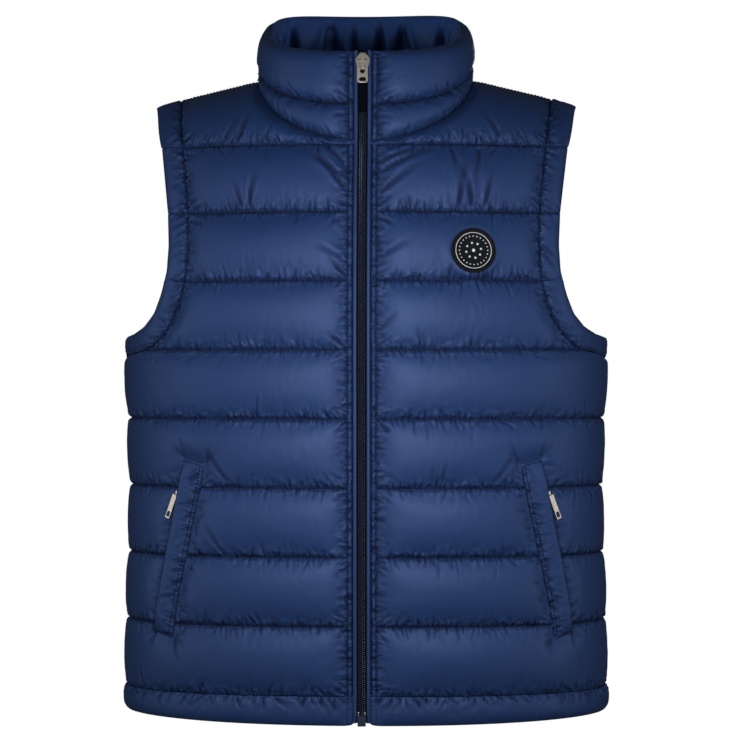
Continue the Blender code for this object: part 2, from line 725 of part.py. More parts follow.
def box_mesh(name, low, high, bevel, surface):
    def build(bm):
        bmesh.ops.create_cube(bm, size=1.0)
        for v in bm.verts:
            v.co = [low[i] + (v.co[i] + 0.5) * (high[i] - low[i]) for i in range(3)]
        if bevel:
            bmesh.ops.bevel(bm, geom=bm.edges[:], offset=bevel, segments=1, affect="EDGES")
    return add_mesh(name, build, surface)


def round_loop(x, z, radius, count):
    return [(x + radius * math.cos(2 * math.pi * i / count), z + radius * math.sin(2 * math.pi * i / count))
            for i in range(count)]


def rounded_box(half_x, half_z, z, radius, steps=CORNER_STEPS):
    corners = ((1, 1), (-1, 1), (-1, -1), (1, -1))
    loop = []
    for k, (sx, sz) in enumerate(corners):
        for i in range(steps + 1):
            turn = math.pi / 2 * (k + i / steps)
            loop.append((sx * (half_x - radius) + radius * math.cos(turn),
                         z + sz * (half_z - radius) + radius * math.sin(turn)))
    return loop


def join_solid(base, tools):
    """Fold other solids into one object."""
    for tool in tools:
        change = base.modifiers.new("fold", "BOOLEAN")
        change.object, change.operation, change.solver = tool, "UNION", "EXACT"
        bpy.context.view_layer.update()
        mesh = bpy.data.meshes.new_from_object(
            base.evaluated_get(bpy.context.evaluated_depsgraph_get()))
        base.modifiers.remove(change)
        base.data = mesh
        bpy.data.objects.remove(tool)
    return base


def place(made, origin, across, out, up):
    """Stand a piece built in the XZ plane with its front towards -Y on a local frame."""
    across, out, up = (Vector(v).normalized() for v in (across, out, up))
    turn = Matrix((across, -out, up)).transposed().to_4x4()
    made.matrix_world = Matrix.Translation(Vector(origin)) @ turn
    return made


def main_zip(path, surfaces):
    """Both zip halves, their bindings, the slider, its pull and the bottom box."""
    metal, tape, cloth = surfaces
    for side, sign in (("left", 1), ("right", -1)):
        half = [(GAP / 2, -CHAIN_BACK), (CHAIN_HALF, -CHAIN_BACK), (CHAIN_HALF, 0.0), (BINDING_OUT, 0.0),
                (BINDING_OUT, TAPE_WALL), (CHAIN_HALF + GAP, TAPE_WALL), (CHAIN_HALF, CHAIN_FRONT),
                (GAP / 2, CHAIN_FRONT)]
        sweep(f"zip_tape_{side}", path, [(sign * x, d) for x, d in half], tape)
        low, high = TAPE_WALL + GAP, BINDING_FRONT
        fold = [(BINDING_IN, low), (BINDING_OUT, low), (BINDING_OUT, high - BINDING_ROUND),
                (BINDING_OUT - BINDING_ROUND, high), (BINDING_IN + BINDING_ROUND, high),
                (BINDING_IN, high - BINDING_ROUND)]
        sweep(f"zip_binding_{side}", path, [(sign * x, d) for x, d in fold], cloth)
    path = np.array(path)
    order = np.argsort(path[:, 2])
    y = np.interp(SLIDER_Z, path[order, 2], path[order, 1])
    below = np.interp(SLIDER_Z + TAIL_END_Z, path[order, 2], path[order, 1])
    up = Vector((0, y - below, -TAIL_END_Z)).normalized()
    out = Vector((0, -up.z, up.y))
    axis = Vector((0, y, SLIDER_Z)) + out * (SLIDER_STAND + SLIDER_PLATE + PULL_AXIS_OUT)

    top, low = SLIDER_ABOVE, SLIDER_ABOVE - SLIDER_LENGTH
    shoulder = [(SLIDER_CROWN, top), (SLIDER_HALF, top - SLIDER_SHOULDER[0]),
                (SLIDER_HALF, top - SLIDER_SHOULDER[1]), (SLIDER_WAIST, low)]
    crown = shoulder + [(-x, z) for x, z in reversed(shoulder)]
    body = plate("zip_slider", crown, [], SLIDER_PLATE, METAL_EDGE, metal)
    body.data.transform(Matrix.Translation((0, PULL_AXIS_OUT + SLIDER_PLATE / 2, 0)))
    clear = PULL_BAR + BRIDGE_CLEAR
    front, root = -(clear + BRIDGE_WALL), PULL_AXIS_OUT + SLIDER_PLATE / 2
    legs = [box_mesh("leg", (-BRIDGE_HALF, front, a), (BRIDGE_HALF, root, b), 0, metal)
            for a, b in BRIDGE_LEGS]
    middle = [sum(leg) / 2 for leg in BRIDGE_LEGS]
    legs.append(box_mesh("span", (-BRIDGE_HALF, front, min(middle)), (BRIDGE_HALF, -clear, max(middle)), 0,
                         metal))
    join_solid(body, legs)
    place(body, axis, (1, 0, 0), out, up)

    shape = [(PULL_HALF - PULL_SHOULDER, PULL_BAR), (PULL_HALF, PULL_BAR - PULL_SHOULDER)]
    shape += [(PULL_HALF, PULL_CORNER - PULL_LENGTH), (PULL_HALF - PULL_CORNER, -PULL_LENGTH)]
    shape = shape + [(-x, z) for x, z in reversed(shape)]
    window = ((WINDOW_END - PULL_BAR) / 2, -(WINDOW_END + PULL_BAR) / 2)
    holes = [rounded_box(WINDOW_HALF, *window, WINDOW_CORNER),
             round_loop(0, PULL_HOLE_Z, PULL_HOLE, PULL_HOLE_SIDES),
             rounded_box(*PULL_SLOT, PULL_SLOT_Z, PULL_SLOT_CORNER)]
    pull = plate("zip_pull", shape, holes, PULL_THICK, METAL_EDGE, metal)
    place(pull, axis, (1, 0, 0), out, up)
    tail_top = -PULL_LENGTH - GAP
    tail = box_mesh("zip_pull_tape", (-TAIL_HALF, -TAIL_THICK / 2, TAIL_END_Z),
                    (TAIL_HALF, TAIL_THICK / 2, tail_top), METAL_EDGE, tape)
    place(tail, axis, (1, 0, 0), out, up)

    low_z = HEM_TOP_Z - HEM_HEIGHT
    y = np.interp(low_z, path[order, 2], path[order, 1])
    wide, deep, tall = BOX_SIZE
    box_mesh("zip_box", (-wide / 2, y - CHAIN_FRONT - GAP - deep, low_z),
             (wide / 2, y - CHAIN_FRONT - GAP, low_z + tall), METAL_EDGE, metal)


def pocket(side, sign, outer, normals, surfaces):
    """Welt over the pressed strip of the front, with the zip, slider and pull under its free edge."""
    metal, tape, cloth = surfaces
    first, last = sum(FRONT_SPLITS[:3]), sum(FRONT_SPLITS[:4])
    rows = slice(WELT_TOP_ROW, WELT_TOP_ROW + WELT_ROWS)
    skin, lift = outer[rows, first:last + 1], normals[rows, first:last + 1]
    f = np.linspace(0, 1, last - first + 1)
    rise = GAP + (WELT_LIFT - GAP) * np.maximum(2 * f - 1, 0)
    low = skin + lift * rise[None, :, None]
    body = WELT_EDGE + (WELT_WALL - WELT_EDGE) * np.sin(math.pi * f)
    high = low + lift * body[None, :, None]
    wall_between(f"pocket_welt_{side}", mirrored(high, sign), mirrored(low, sign), cloth,
                 coarse(WELT_ROWS, 1), coarse(last - first + 1, 1))
    middle, free = skin[:, -2], skin[:, -1]
    strip = np.stack([middle + (free - middle) * s for s in POCKET_TAPE], axis=1)
    turn = np.stack([lift[:, -1], lift[:, -1]], axis=1)
    under = strip + turn * POCKET_TAPE_SEAT
    wall_between(f"pocket_zip_{side}", mirrored(under + turn * POCKET_TAPE_WALL, sign),
                 mirrored(under, sign), tape, coarse(WELT_ROWS, 1), [0, 1])
    r = POCKET_PULL_ROW
    up = unit(free[r - 1] - free[r + 1])
    out = unit(lift[r, -1] - up * np.dot(lift[r, -1], up))
    across = np.cross(up, out)
    wide, tall, thick = POCKET_SLIDER
    seat = free[r] + out * (2 * GAP + POCKET_TAPE_WALL)
    origin = seat + across * wide / 2
    ends = sorted((-wide * sign, POCKET_PULL_SHOULDER * sign))
    slide = box_mesh(f"pocket_slider_{side}", (ends[0], -thick, -tall / 2), (ends[1], 0, tall / 2),
                     METAL_EDGE, metal)
    lean = math.radians(POCKET_PULL_TURN)
    down = -up * math.cos(lean) + across * math.sin(lean)
    pin = origin + out * (thick + GAP + POCKET_PULL_THICK / 2)
    tab_up, tab_across = -down, np.cross(-down, out)
    half, long = POCKET_PULL_HALF, POCKET_PULL_LENGTH
    corner = POCKET_PULL_SHOULDER
    shape = [(half - corner, POCKET_PULL_HEAD), (half, POCKET_PULL_HEAD - corner), (half, corner - long),
             (half - corner, -long)]
    shape = shape + [(-x, z) for x, z in reversed(shape)]
    wide, tall, z = POCKET_PULL_HOLE
    hole = rounded_box(wide, tall, z - long, POCKET_HOLE_CORNER)
    tab = plate(f"pocket_pull_{side}", shape, [hole], POCKET_PULL_THICK, METAL_EDGE, metal)
    flip = np.array([sign, 1, 1])
    place(slide, origin * flip, across * flip * sign, out * flip, up * flip)
    place(tab, pin * flip, tab_across * flip * sign, out * flip, tab_up * flip)


def seat_badge(outer, inner_point, normal, seat_rows):
    """Flatten the padding under the badge and return the middle of its seat."""
    reach = np.linalg.norm(outer - inner_point, axis=2)
    near = reach < BADGE_SEAT + PUFF
    height = ((outer - inner_point) * normal).sum(axis=2)
    seat = height[near].max()
    side = np.linalg.norm(outer - inner_point - normal * height[..., None], axis=2)
    under = (side < BADGE_SEAT) & seat_rows[:, None]
    outer[under] += normal * (seat - height[under])[:, None]
    return inner_point + normal * (seat + GAP)


def build_vest():
    for old in list(bpy.data.objects):
        bpy.data.objects.remove(old)
    shell = material("navy_shell", NAVY, ROUGHNESS["shell"])
    lining = material("navy_facing", NAVY_DARK, ROUGHNESS["lining"])
    tape = material("black_tape", TAPE_BLACK, ROUGHNESS["tape"])
    metal = material("zip_metal", STEEL, ROUGHNESS["metal"], 1.0)
    rubber = material("badge_rubber", RUBBER, ROUGHNESS["rubber"])

    front, front_normals, front_wall, front_neck = front_panel()
    back, back_normals, back_wall, back_neck = back_panel()
    line, level = neck_line(front, front_neck, back, back_neck)
    centre = back.shape[1] // 2
    seam_normals = np.concatenate([
        mirrored(front_normals[0, :front_neck], -1),
        back_normals[0, centre - back_neck + 2:centre + back_neck - 1],
        front_normals[0, front_neck - 1::-1]])
    front_normals = ease_to_neck(front, front_normals, line, level)
    back_normals = ease_to_neck(back, back_normals, line, level)
    front_outer = front + front_normals * front_wall[..., None]
    back_outer = back + back_normals * back_wall[..., None]
    rows = front.shape[0]
    front_columns = coarse(front.shape[1], 2, (1, front_neck - 1))
    left_outer = front_outer.copy()
    depth = ring_depth(BADGE_X, BADGE_Z, "front")
    inner_point = np.array([BADGE_X, -depth, BADGE_Z])
    badge_normal = form_normal(inner_point, "front")
    first = FIRST_LEVEL + len(CHANNEL_STEPS)
    seat_rows = (np.arange(rows) > first) & (np.arange(rows) < first + len(CHANNEL_STEPS))
    seat = seat_badge(left_outer, inner_point, badge_normal, seat_rows)

    wall_between("front_left", left_outer, front, shell, body_rows_coarse(rows), front_columns)
    wall_between("front_right", mirrored(front_outer, -1), mirrored(front, -1), shell,
                 body_rows_coarse(rows), front_columns)
    wall_between("back", back_outer, back, shell, body_rows_coarse(rows), coarse(back.shape[1], 2))
    half_back = back[:, back.shape[1] // 2:]
    for side, sign in (("left", 1), ("right", -1)):
        armhole_band(f"armhole_band_{side}", sign, front, half_back, shell)
    hem_strip(front, back, shell)
    collar = collar_pieces(line, seam_normals, (shell, lining))

    edge = np.concatenate([collar[::-1, -1], front[FIRST_LEVEL:, 0]])
    low = edge[-1] + np.array([0, 0, -HEM_HEIGHT])
    edge = np.concatenate([edge, [low]])
    levels = np.linspace(edge[0, 2], edge[-1, 2], ZIP_POINTS)
    y = np.interp(levels[::-1], edge[::-1, 2], edge[::-1, 1])[::-1]
    path = np.stack([np.zeros(ZIP_POINTS), y, levels], axis=1)
    main_zip(path, (metal, tape, shell))
    for side, sign, skin in (("left", 1, left_outer), ("right", -1, front_outer)):
        pocket(side, sign, skin, front_normals, (metal, tape, shell))

    disc = plate("badge", round_loop(0, 0, BADGE_RADIUS, BADGE_SIDES), [], BADGE_THICK, METAL_EDGE, rubber)
    disc.data.transform(Matrix.Translation((0, -BADGE_THICK / 2, 0)))
    out = Vector(badge_normal)
    across = out.cross(Vector((0, 0, 1)))
    place(disc, seat, across, out, out.cross(across))


build_vest()
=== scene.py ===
"""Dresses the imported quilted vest: padded panels, collar, bands, zips, pockets, badge and stitching.

Metres, +Z up, the front towards -Y and the wearer's left towards +X, as in the frame.
"""
import json
import math
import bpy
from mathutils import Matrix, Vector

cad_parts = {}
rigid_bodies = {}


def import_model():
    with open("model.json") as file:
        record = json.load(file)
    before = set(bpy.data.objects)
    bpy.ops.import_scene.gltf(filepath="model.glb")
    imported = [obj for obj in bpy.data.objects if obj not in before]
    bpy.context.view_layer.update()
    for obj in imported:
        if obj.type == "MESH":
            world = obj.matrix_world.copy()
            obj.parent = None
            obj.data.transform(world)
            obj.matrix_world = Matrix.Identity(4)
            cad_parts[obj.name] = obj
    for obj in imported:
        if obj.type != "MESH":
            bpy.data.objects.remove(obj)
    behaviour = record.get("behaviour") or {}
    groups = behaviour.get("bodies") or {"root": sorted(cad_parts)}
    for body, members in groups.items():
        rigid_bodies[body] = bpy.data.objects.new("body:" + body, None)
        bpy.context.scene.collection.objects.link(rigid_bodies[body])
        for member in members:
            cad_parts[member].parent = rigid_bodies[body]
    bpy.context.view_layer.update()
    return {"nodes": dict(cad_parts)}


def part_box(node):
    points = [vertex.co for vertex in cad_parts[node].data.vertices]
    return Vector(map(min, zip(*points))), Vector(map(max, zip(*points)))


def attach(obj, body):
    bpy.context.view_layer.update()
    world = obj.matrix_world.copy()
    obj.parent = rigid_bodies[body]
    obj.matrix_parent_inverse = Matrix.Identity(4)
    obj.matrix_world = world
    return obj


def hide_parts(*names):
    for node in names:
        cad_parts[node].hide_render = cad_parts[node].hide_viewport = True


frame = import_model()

from types import SimpleNamespace

import bmesh
import bpy
import numpy as np
from bpy.props import FloatProperty, FloatVectorProperty, IntProperty, PointerProperty
from mathutils import Matrix, Vector

bl_info = {
    "name": "Quilted Vest",
    "version": (1, 0, 0),
    "blender": (4, 5, 0),
    "location": "View3D > Sidebar > Vest",
    "description": "Builds the padded panels, collar, zips, pockets, badge and stitching of a vest",
    "category": "Object",
}

NODES = frame["nodes"]
SIDES = (("left", 1), ("right", -1))

# Walls, seams and quilting, as the solids have them
GAP = 0.0003
SEAM_WALL = 0.003
EDGE_WALL = 0.005
SIDE_PUFF = 0.48
SIDE_PUFF_FROM = 0.75
FADE = 0.028
FADE_POWER = 2.2
NECK_EASE = 0.010
LOW_YOKE = 0.050
RIDGE_EASE = 0.60
YOKE_Z = -0.068
CHANNEL = 0.066
CHANNELS = 8
HEM_HEIGHT = 0.028
HEM_SIDE_RISE = 0.0045
HEM_CORNER = 0.012
TAPE_END = 0.0012
HEM_TOP_Z = YOKE_Z - CHANNEL * CHANNELS
UNDERARM_LINE = 3
LEVEL_BAND_Z = -0.2001

# Body form: half width, depth to the front and to the back, squareness of each level section
FORM_COLUMNS = ("z", "half_width", "front", "back", "square")
FORM = (
    (-0.630, 0.2350, 0.112, 0.106, 2.50),
    (-0.530, 0.2335, 0.114, 0.104, 2.50),
    (-0.400, 0.2305, 0.116, 0.102, 2.45),
    (-0.332, 0.2325, 0.117, 0.105, 2.40),
    (-0.266, 0.2355, 0.118, 0.111, 2.30),
    (-0.200, 0.2340, 0.116, 0.114, 2.20),
    (-0.134, 0.2290, 0.107, 0.110, 2.10),
    (-0.068, 0.2200, 0.090, 0.099, 2.10),
)

# Shoulder ridge, neck and how roundly the yoke rolls over
NECK_HALF_WIDTH = 0.1025
NECK_POINT_Z = 0.002
SHOULDER_TIP_X = 0.2110
SHOULDER_TIP_Z = -0.0245
SHOULDER_SEAM_X = 0.1850
TIP_ROUND = 0.003
YOKE_ROUND = {"front": 1.35, "back": 1.90}
NECK_DROP = {"front": 0.0650, "back": 0.0100}

# Armhole: the seam of the band and the free edge it reaches, from the underarm to the yoke
ARMHOLE_COLUMNS = ("seam_z", "seam_x", "edge_z", "edge_x")
ARMHOLE = (
    (-0.276, 0.2350, -0.2540, 0.2350),
    (-0.266, 0.2095, -0.2500, 0.2220),
    (-0.258, 0.1985, -0.2435, 0.2110),
    (-0.244, 0.1870, -0.2305, 0.2005),
    (-0.226, 0.1780, -0.2120, 0.1935),
    (-0.200, 0.1710, -0.1900, 0.1880),
    (-0.168, 0.1685, -0.1650, 0.1865),
    (-0.134, 0.1690, -0.1330, 0.1880),
    (-0.068, 0.1755, -0.0680, 0.1960),
)

# Lengthwise lines: under the neck point, and both edges of the pocket welt
LINE_COLUMNS = ("z", "neck", "welt_in", "welt_out")
LINES = (
    (-0.622, 0.1180, 0.1885, 0.2055),
    (-0.538, 0.1150, 0.1800, 0.1970),
    (-0.375, 0.1080, 0.1490, 0.1685),
    (-0.266, 0.1025, 0.1335, 0.1525),
    (-0.068, 0.1025, 0.1245, 0.1435),
)
WELT_TOP_Z = -0.3695
WELT_LOW_Z = -0.5383
WELT_SLANT = 0.0055
WELT_PRESS = 0.0055
WELT_WALL = 0.0048
WELT_EDGE = 0.0032
WELT_LIFT = 0.0046
WELT_NET = (64, 13)
WELT_PRESS_REACH = 0.014
BADGE_PRESS_REACH = 0.009
POCKET_TAPE_WALL = 0.0009

# Front opening and collar
FRONT_EDGE = 0.00805
FRONT_STITCH = 0.0136
CHAIN_HALF = 0.0033
CHAIN_FRONT = 0.0026
CHAIN_BACK = 0.0006
TAPE_WALL = 0.0012
BINDING_IN = 0.0048
BINDING_OUT = 0.0080
BINDING_FRONT = 0.0044
TAPE_INNER = 0.00001
# A tooth of the coil (long, half wide, half tall), its two bends as shares of the half chain, and the
# lengths of tape left bare below and above the coil
TOOTH = (CHAIN_HALF * 0.46, 0.00050, 0.0009)
TOOTH_BENDS = (0.27, 0.82)
BARE_TAPE = (0.007, 0.006)
# Pins above the bottom box: size, distance from the middle, height over the tape's end, lift, rounding
PIN_SIZE = (0.0013, 0.0014, 0.0042)
PIN_ASIDE = 0.0031
PIN_RISE = 0.0110
PIN_LIFT = 0.0029
PIN_ROUND = 0.0004
# Half thickness of the pull's tape, and that of its cut ends
PULL_TAPE_HALF = 0.00055
PULL_TAPE_END = 0.0003
COLLAR_MID = {"front": (0.0235, 0.58), "back": (0.0235, 0.16)}
COLLAR_RIM = {"front": (0.054, 0.37), "back": (0.054, 0.025)}
RIM_REACH = 0.072
COLLAR_TOP = {"side": 0.930, "front": 0.965, "back": 1.05}
LOW_COLLAR = 0.040

# Gathers inside the collar: place round the ring (0 and 1 at the zip), depth, half width
GATHERS = (
    (0.285, 0.0030, 0.012),
    (0.350, 0.0038, 0.009),
    (0.432, 0.0050, 0.011),
    (0.474, 0.0030, 0.007),
    (0.521, 0.0042, 0.008),
    (0.563, 0.0048, 0.010),
    (0.650, 0.0036, 0.010),
    (0.715, 0.0030, 0.012),
)

# Nets of the cloth before each is halved once more: steps between marks, per channel and per strip
FRONT_COLUMNS = (3, 38, 52)
BACK_COLUMNS = (28, 34)
YOKE_ROWS = 18
CHANNEL_ROWS = 16
UNDERARM_STEP = 3
COLLAR_ROWS = (10, 16)
BAND_ROWS = 10
HEM_ROWS = 9
CROWDING = 0.35
UNDERARM_ROW = YOKE_ROWS + UNDERARM_LINE * CHANNEL_ROWS + UNDERARM_STEP
# Column of the zip's inner stitch row in the fine net, and that row with the one at the edge
STITCH_COLUMN = 2 * FRONT_COLUMNS[0]
ZIP_ROWS = (1, STITCH_COLUMN)
BOTH_ZIP_ROWS = (1, STITCH_COLUMN, -2, -STITCH_COLUMN - 1)
WELT_ROWS = [1, 4]

# How deep a stitch line is pulled in, as a share of the groove
GROOVE = {"zip": 0.8, "neck": 0.9, "armhole": 0.85, "side": 0.60, "collar": 1.25, "band": 0.7,
          "welt": 0.5}
# How far the fine puckers reach from a stitch line or seam
REACH = {"above": 0.0080, "below": 0.0035, "armhole": 0.0060, "zip": 0.0065, "strip": 0.0055,
         "welt": 0.0070}
# Puckers of a level stitch line: steps as shares of the spacing, lengths, and how often each comes
PUCKER_STEPS = ((0.45, 0.8, 1.3, 2.2), (0.3, 0.35, 0.25, 0.1))
PUCKER_LENGTHS = ((0.006, 0.009, 0.013, 0.020), (0.38, 0.37, 0.19, 0.06))
# Depths at which a groove and a crease are fully dark with painted shade, and how dark that is
DARK_GROOVE = (0.0021, 0.95)
DARK_CREASE = (0.0014, 0.80)
GATHER_FOLD = 0.0075
# Side of the body that a depth is counted to
TOWARDS = {"front": -1, "back": 1}

# Main creases of the fronts, in metres on the cloth: away from the zip's stitch row and down from the
# first stitch line, turn in degrees from straight out (0) to straight up (-90), length, width, depth
CREASES = {
    "front_right": (
        (0.002, 0.046, -53, 0.056, 0.0032, 0.0029),
        (0.002, 0.022, -48, 0.034, 0.0028, 0.0022),
        (0.003, 0.034, -34, 0.052, 0.0030, 0.0021),
        (0.095, 0.062, -101, 0.038, 0.0028, 0.0022),
        (0.102, 0.063, -76, 0.030, 0.0026, 0.0020),
        (0.105, -0.003, -84, 0.034, 0.0032, 0.0020),
        (0.121, -0.003, -103, 0.026, 0.0028, 0.0015),
        (0.002, 0.113, -27, 0.034, 0.0026, 0.0018),
        (0.002, 0.128, -50, 0.026, 0.0024, 0.0017),
        (0.002, 0.196, -40, 0.024, 0.0024, 0.0015),
        (0.112, 0.326, -52, 0.044, 0.0028, 0.0017),
        (0.120, 0.392, -60, 0.036, 0.0028, 0.0015),
    ),
    "front_left": (
        (0.002, 0.030, -28, 0.062, 0.0032, 0.0029),
        (0.002, 0.018, -20, 0.046, 0.0028, 0.0024),
        (0.002, 0.050, -38, 0.050, 0.0030, 0.0022),
        (0.078, 0.063, -84, 0.050, 0.0030, 0.0025),
        (0.091, 0.063, -101, 0.046, 0.0030, 0.0024),
        (0.103, 0.063, -80, 0.042, 0.0028, 0.0022),
        (0.070, 0.003, 74, 0.036, 0.0030, 0.0021),
        (0.098, 0.003, 98, 0.040, 0.0030, 0.0021),
        (0.118, -0.003, -97, 0.032, 0.0032, 0.0020),
        (0.002, 0.112, -31, 0.036, 0.0026, 0.0018),
        (0.002, 0.180, -44, 0.026, 0.0024, 0.0017),
        (0.112, 0.326, -58, 0.038, 0.0028, 0.0017),
    ),
}

# Main creases of the hem, on both sides of the zip: away from the zip, turn in degrees from straight
# down, length, width, depth
HEM_CREASES = (
    (0.024, 29, 0.016, 0.0022, 0.0020),
    (0.032, 20, 0.014, 0.0020, 0.0016),
    (0.014, 34, 0.011, 0.0018, 0.0014),
    (0.046, -14, 0.012, 0.0020, 0.0014),
)

# Settings of the cloth simulation: steps a frame, weight of a point and stretch
SWELL = {"quality": 5, "mass": 0.15, "tension_stiffness": 15, "compression_stiffness": 15,
         "shear_stiffness": 5, "use_pressure": True}

# Softboxes: place and size, all turned to the middle of the vest
LIGHTS = {"key": ((0.02, -0.70, -0.22), (0.32, 0.25)), "side_left": ((1.6, -0.9, -0.20), (0.7, 1.2)),
          "side_right": ((-1.6, -0.9, -0.20), (0.7, 1.2)), "back": ((0.0, 2.0, -0.15), (1.2, 1.2))}
LIGHT_AIM = (0, 0, -0.30)
FLOOR_HALF = 4.0

# Dots of the badge, ring by ring: how many, share of the radius, size, turn of the first
BADGE_DOTS = (
    (24, 0.64, 0.00062, 0.0),
    (8, 0.34, 0.00105, 0.2),
    (1, 0.0, 0.0016, 0.0),
)

CLOTH = {}
FINISHES = {}


def linear(code):
    """Linear colour of an sRGB hex code."""
    parts = [int(code[i:i + 2], 16) / 255 for i in (0, 2, 4)]
    return tuple(c / 12.92 if c <= 0.04045 else ((c + 0.055) / 1.055) ** 2.4 for c in parts)


def length_of(name, description, default):
    """A property that holds a length in metres."""
    return FloatProperty(name=name, description=description, default=default, unit="LENGTH")


def colour_of(name, description, code):
    """A property that holds a colour, given as its sRGB hex code."""
    return FloatVectorProperty(name=name, description=description, default=linear(code), subtype="COLOR")


class VestQuilt(bpy.types.PropertyGroup):
    """Padding, slack and puckers of the quilted cloth."""
    puff: length_of("Padding", "Padding over the stitch lines before filling", 0.0080)
    collar_puff: length_of("Collar padding", "Padding of the collar before filling", 0.0068)
    facing_puff: length_of("Facing padding", "Padding inside the collar", 0.0065)
    band_puff: length_of("Band padding", "Padding of the armhole bands", 0.0045)
    hem_puff: length_of("Hem padding", "Padding of the hem band", 0.0038)
    slack: FloatProperty(name="Slack", description="Share by which cloth is cut longer than its seams",
                         default=0.004, min=0.0, max=0.2)
    pressure: FloatProperty(name="Filling pressure", description="Push of the filling on the cloth",
                            default=10.0, min=0.0)
    stiffness: FloatProperty(name="Bending stiffness", description="How stiffly the cloth bends",
                             default=0.002, min=0.0)
    frames: IntProperty(name="Frames", description="Steps of the simulation", default=20, min=1)
    cap: length_of("Largest move", "How far a point of the cloth may move", 0.0060)
    pucker_gap: length_of("Pucker spacing", "Mean distance of puckers on a stitch line", 0.0048)
    pucker_depth: length_of("Pucker depth", "Mean depth of a pucker", 0.0016)
    groove: length_of("Stitch groove", "How far a stitch line is pulled in", 0.0021)


class VestSewing(bpy.types.PropertyGroup):
    """Thread and zip sizes."""
    stitch_pitch: length_of("Stitch pitch", "Distance from stitch to stitch", 0.0034)
    thread: length_of("Thread", "Half thickness of the thread", 0.00040)
    tooth_pitch: length_of("Coil pitch", "Distance from tooth to tooth of the zip", 0.0018)


class VestColours(bpy.types.PropertyGroup):
    """Colours of the cloth, zip and badge."""
    shell: colour_of("Shell", "Navy nylon", "18315D")
    shell_deep: colour_of("Shell, deep", "Navy nylon where it takes more dye", "132952")
    # painted shade: the colour that folds and stitch lines are darkened to
    fold: colour_of("Folds", "Navy nylon deep in a fold", "030D2C")
    # the shell's navy nylon, coloured lighter as painted light where the lamps reach little inside the collar
    facing: colour_of("Facing", "Navy nylon inside", "294A88")
    tape: colour_of("Zip tape", "Woven tape", "05070E")
    # the black coil coloured lighter grey-blue: a painted highlight of its gleaming turns
    coil: colour_of("Zip coil", "Nylon coil", "3A4358")
    thread: colour_of("Thread", "Sewing thread", "050B1C")
    metal: colour_of("Metal", "Nickel plate", "A8A197")
    box: colour_of("Zip box", "Blackened metal", "48546C")
    rubber: colour_of("Badge", "Moulded rubber", "05070E")
    print_white: colour_of("Badge relief", "Pale rubber", "DADDE2")


class VestStage(bpy.types.PropertyGroup):
    """Camera, light and floor."""
    distance: length_of("Distance", "Camera to the middle of the vest", 2.37)
    turn: FloatProperty(name="Turn", description="Turn of the view round the vest",
                        default=math.radians(1.8), subtype="ANGLE")
    view_width: length_of("View width", "Width seen at the middle of the vest", 0.75)
    aim_x: length_of("Aim across", "Middle of the view", 0.009)
    aim_z: length_of("Aim height", "Middle of the view", -0.290)
    floor_z: length_of("Floor", "Floor under a wearer", -1.40)
    key: FloatProperty(name="Key light", description="Softbox before the vest", default=3.7, unit="POWER")
    side: FloatProperty(name="Side lights", description="Softboxes on both sides", default=8.5, unit="POWER")
    back: FloatProperty(name="Back light", description="Softbox behind", default=18.0, unit="POWER")
    fill: FloatProperty(name="Fill", description="Even light from the white studio", default=0.06)


def curve(table, columns, name, at):
    """Smooth value of one named column at the key of the table's first column."""
    rows = sorted(table)
    keys = np.array([row[0] for row in rows])
    values = np.array([row[columns.index(name)] for row in rows])
    slopes = np.gradient(values, keys)
    at = np.clip(np.asarray(at, float), keys[0], keys[-1])
    i = np.clip(np.searchsorted(keys, at) - 1, 0, len(keys) - 2)
    step = keys[i + 1] - keys[i]
    t = (at - keys[i]) / step
    rise = values[i + 1] - values[i]
    start, end = slopes[i] * step, slopes[i + 1] * step
    return values[i] + t * start + t * t * (3 * rise - 2 * start - end) + t ** 3 * (start + end - 2 * rise)


def section(name, z):
    return curve(FORM, FORM_COLUMNS, name, z)


def ring_depth(x, z, side):
    """Depth of the body form in front of or behind the side line."""
    n = section("square", z)
    share = np.clip(np.abs(x) / section("half_width", z), 0, 1)
    return section(side, z) * (1 - share ** n) ** (1 / n)


def ridge_z(x):
    """Height of the shoulder ridge, carried on as a smooth crown over the neck."""
    slope = (NECK_POINT_Z - SHOULDER_TIP_Z) / (SHOULDER_TIP_X - NECK_HALF_WIDTH)
    out = np.maximum(np.abs(x) - NECK_HALF_WIDTH, 0)
    crown = 1 - np.minimum(np.abs(x) / NECK_HALF_WIDTH, 1) ** 2
    return NECK_POINT_Z - slope * out + slope * NECK_HALF_WIDTH / 2 * crown


def neck_z(x, side):
    round_off = np.sqrt(np.clip(1 - (np.abs(x) / NECK_HALF_WIDTH) ** 2, 0, 1))
    return NECK_POINT_Z - (NECK_DROP[side] + NECK_POINT_Z) * round_off


def form_value(points, side):
    """Zero on the body form, above zero outside it."""
    x, depth, z = np.abs(points[..., 0]), np.abs(points[..., 1]), points[..., 2]
    n = section("square", z)
    body = (x / section("half_width", z)) ** n + (depth / section(side, z)) ** n - 1
    m = YOKE_ROUND[side]
    rise = np.maximum(z - YOKE_Z, 0) / (ridge_z(x) - YOKE_Z)
    yoke = (depth / np.maximum(ring_depth(x, YOKE_Z, side), 1e-6)) ** m + rise ** m - 1
    return np.where(z <= YOKE_Z, body, yoke)


def unit(v):
    return v / np.maximum(np.linalg.norm(v, axis=-1, keepdims=True), 1e-12)


def form_normals(points, side, nudge=0.0008):
    """Outward directions of the body form."""
    slope = [form_value(points + nudge * axis, side) - form_value(points - nudge * axis, side)
             for axis in np.eye(3)]
    return unit(np.stack(slope, axis=-1))


def mirrored(points, sign):
    return points * np.array([sign, 1, 1])


def bump(f):
    """Cross profile of a padded channel: steep at both stitch lines, fullest below the middle."""
    return (1 - np.abs(2 * np.asarray(f, float) ** 0.92 - 1) ** 2.3) ** 0.68


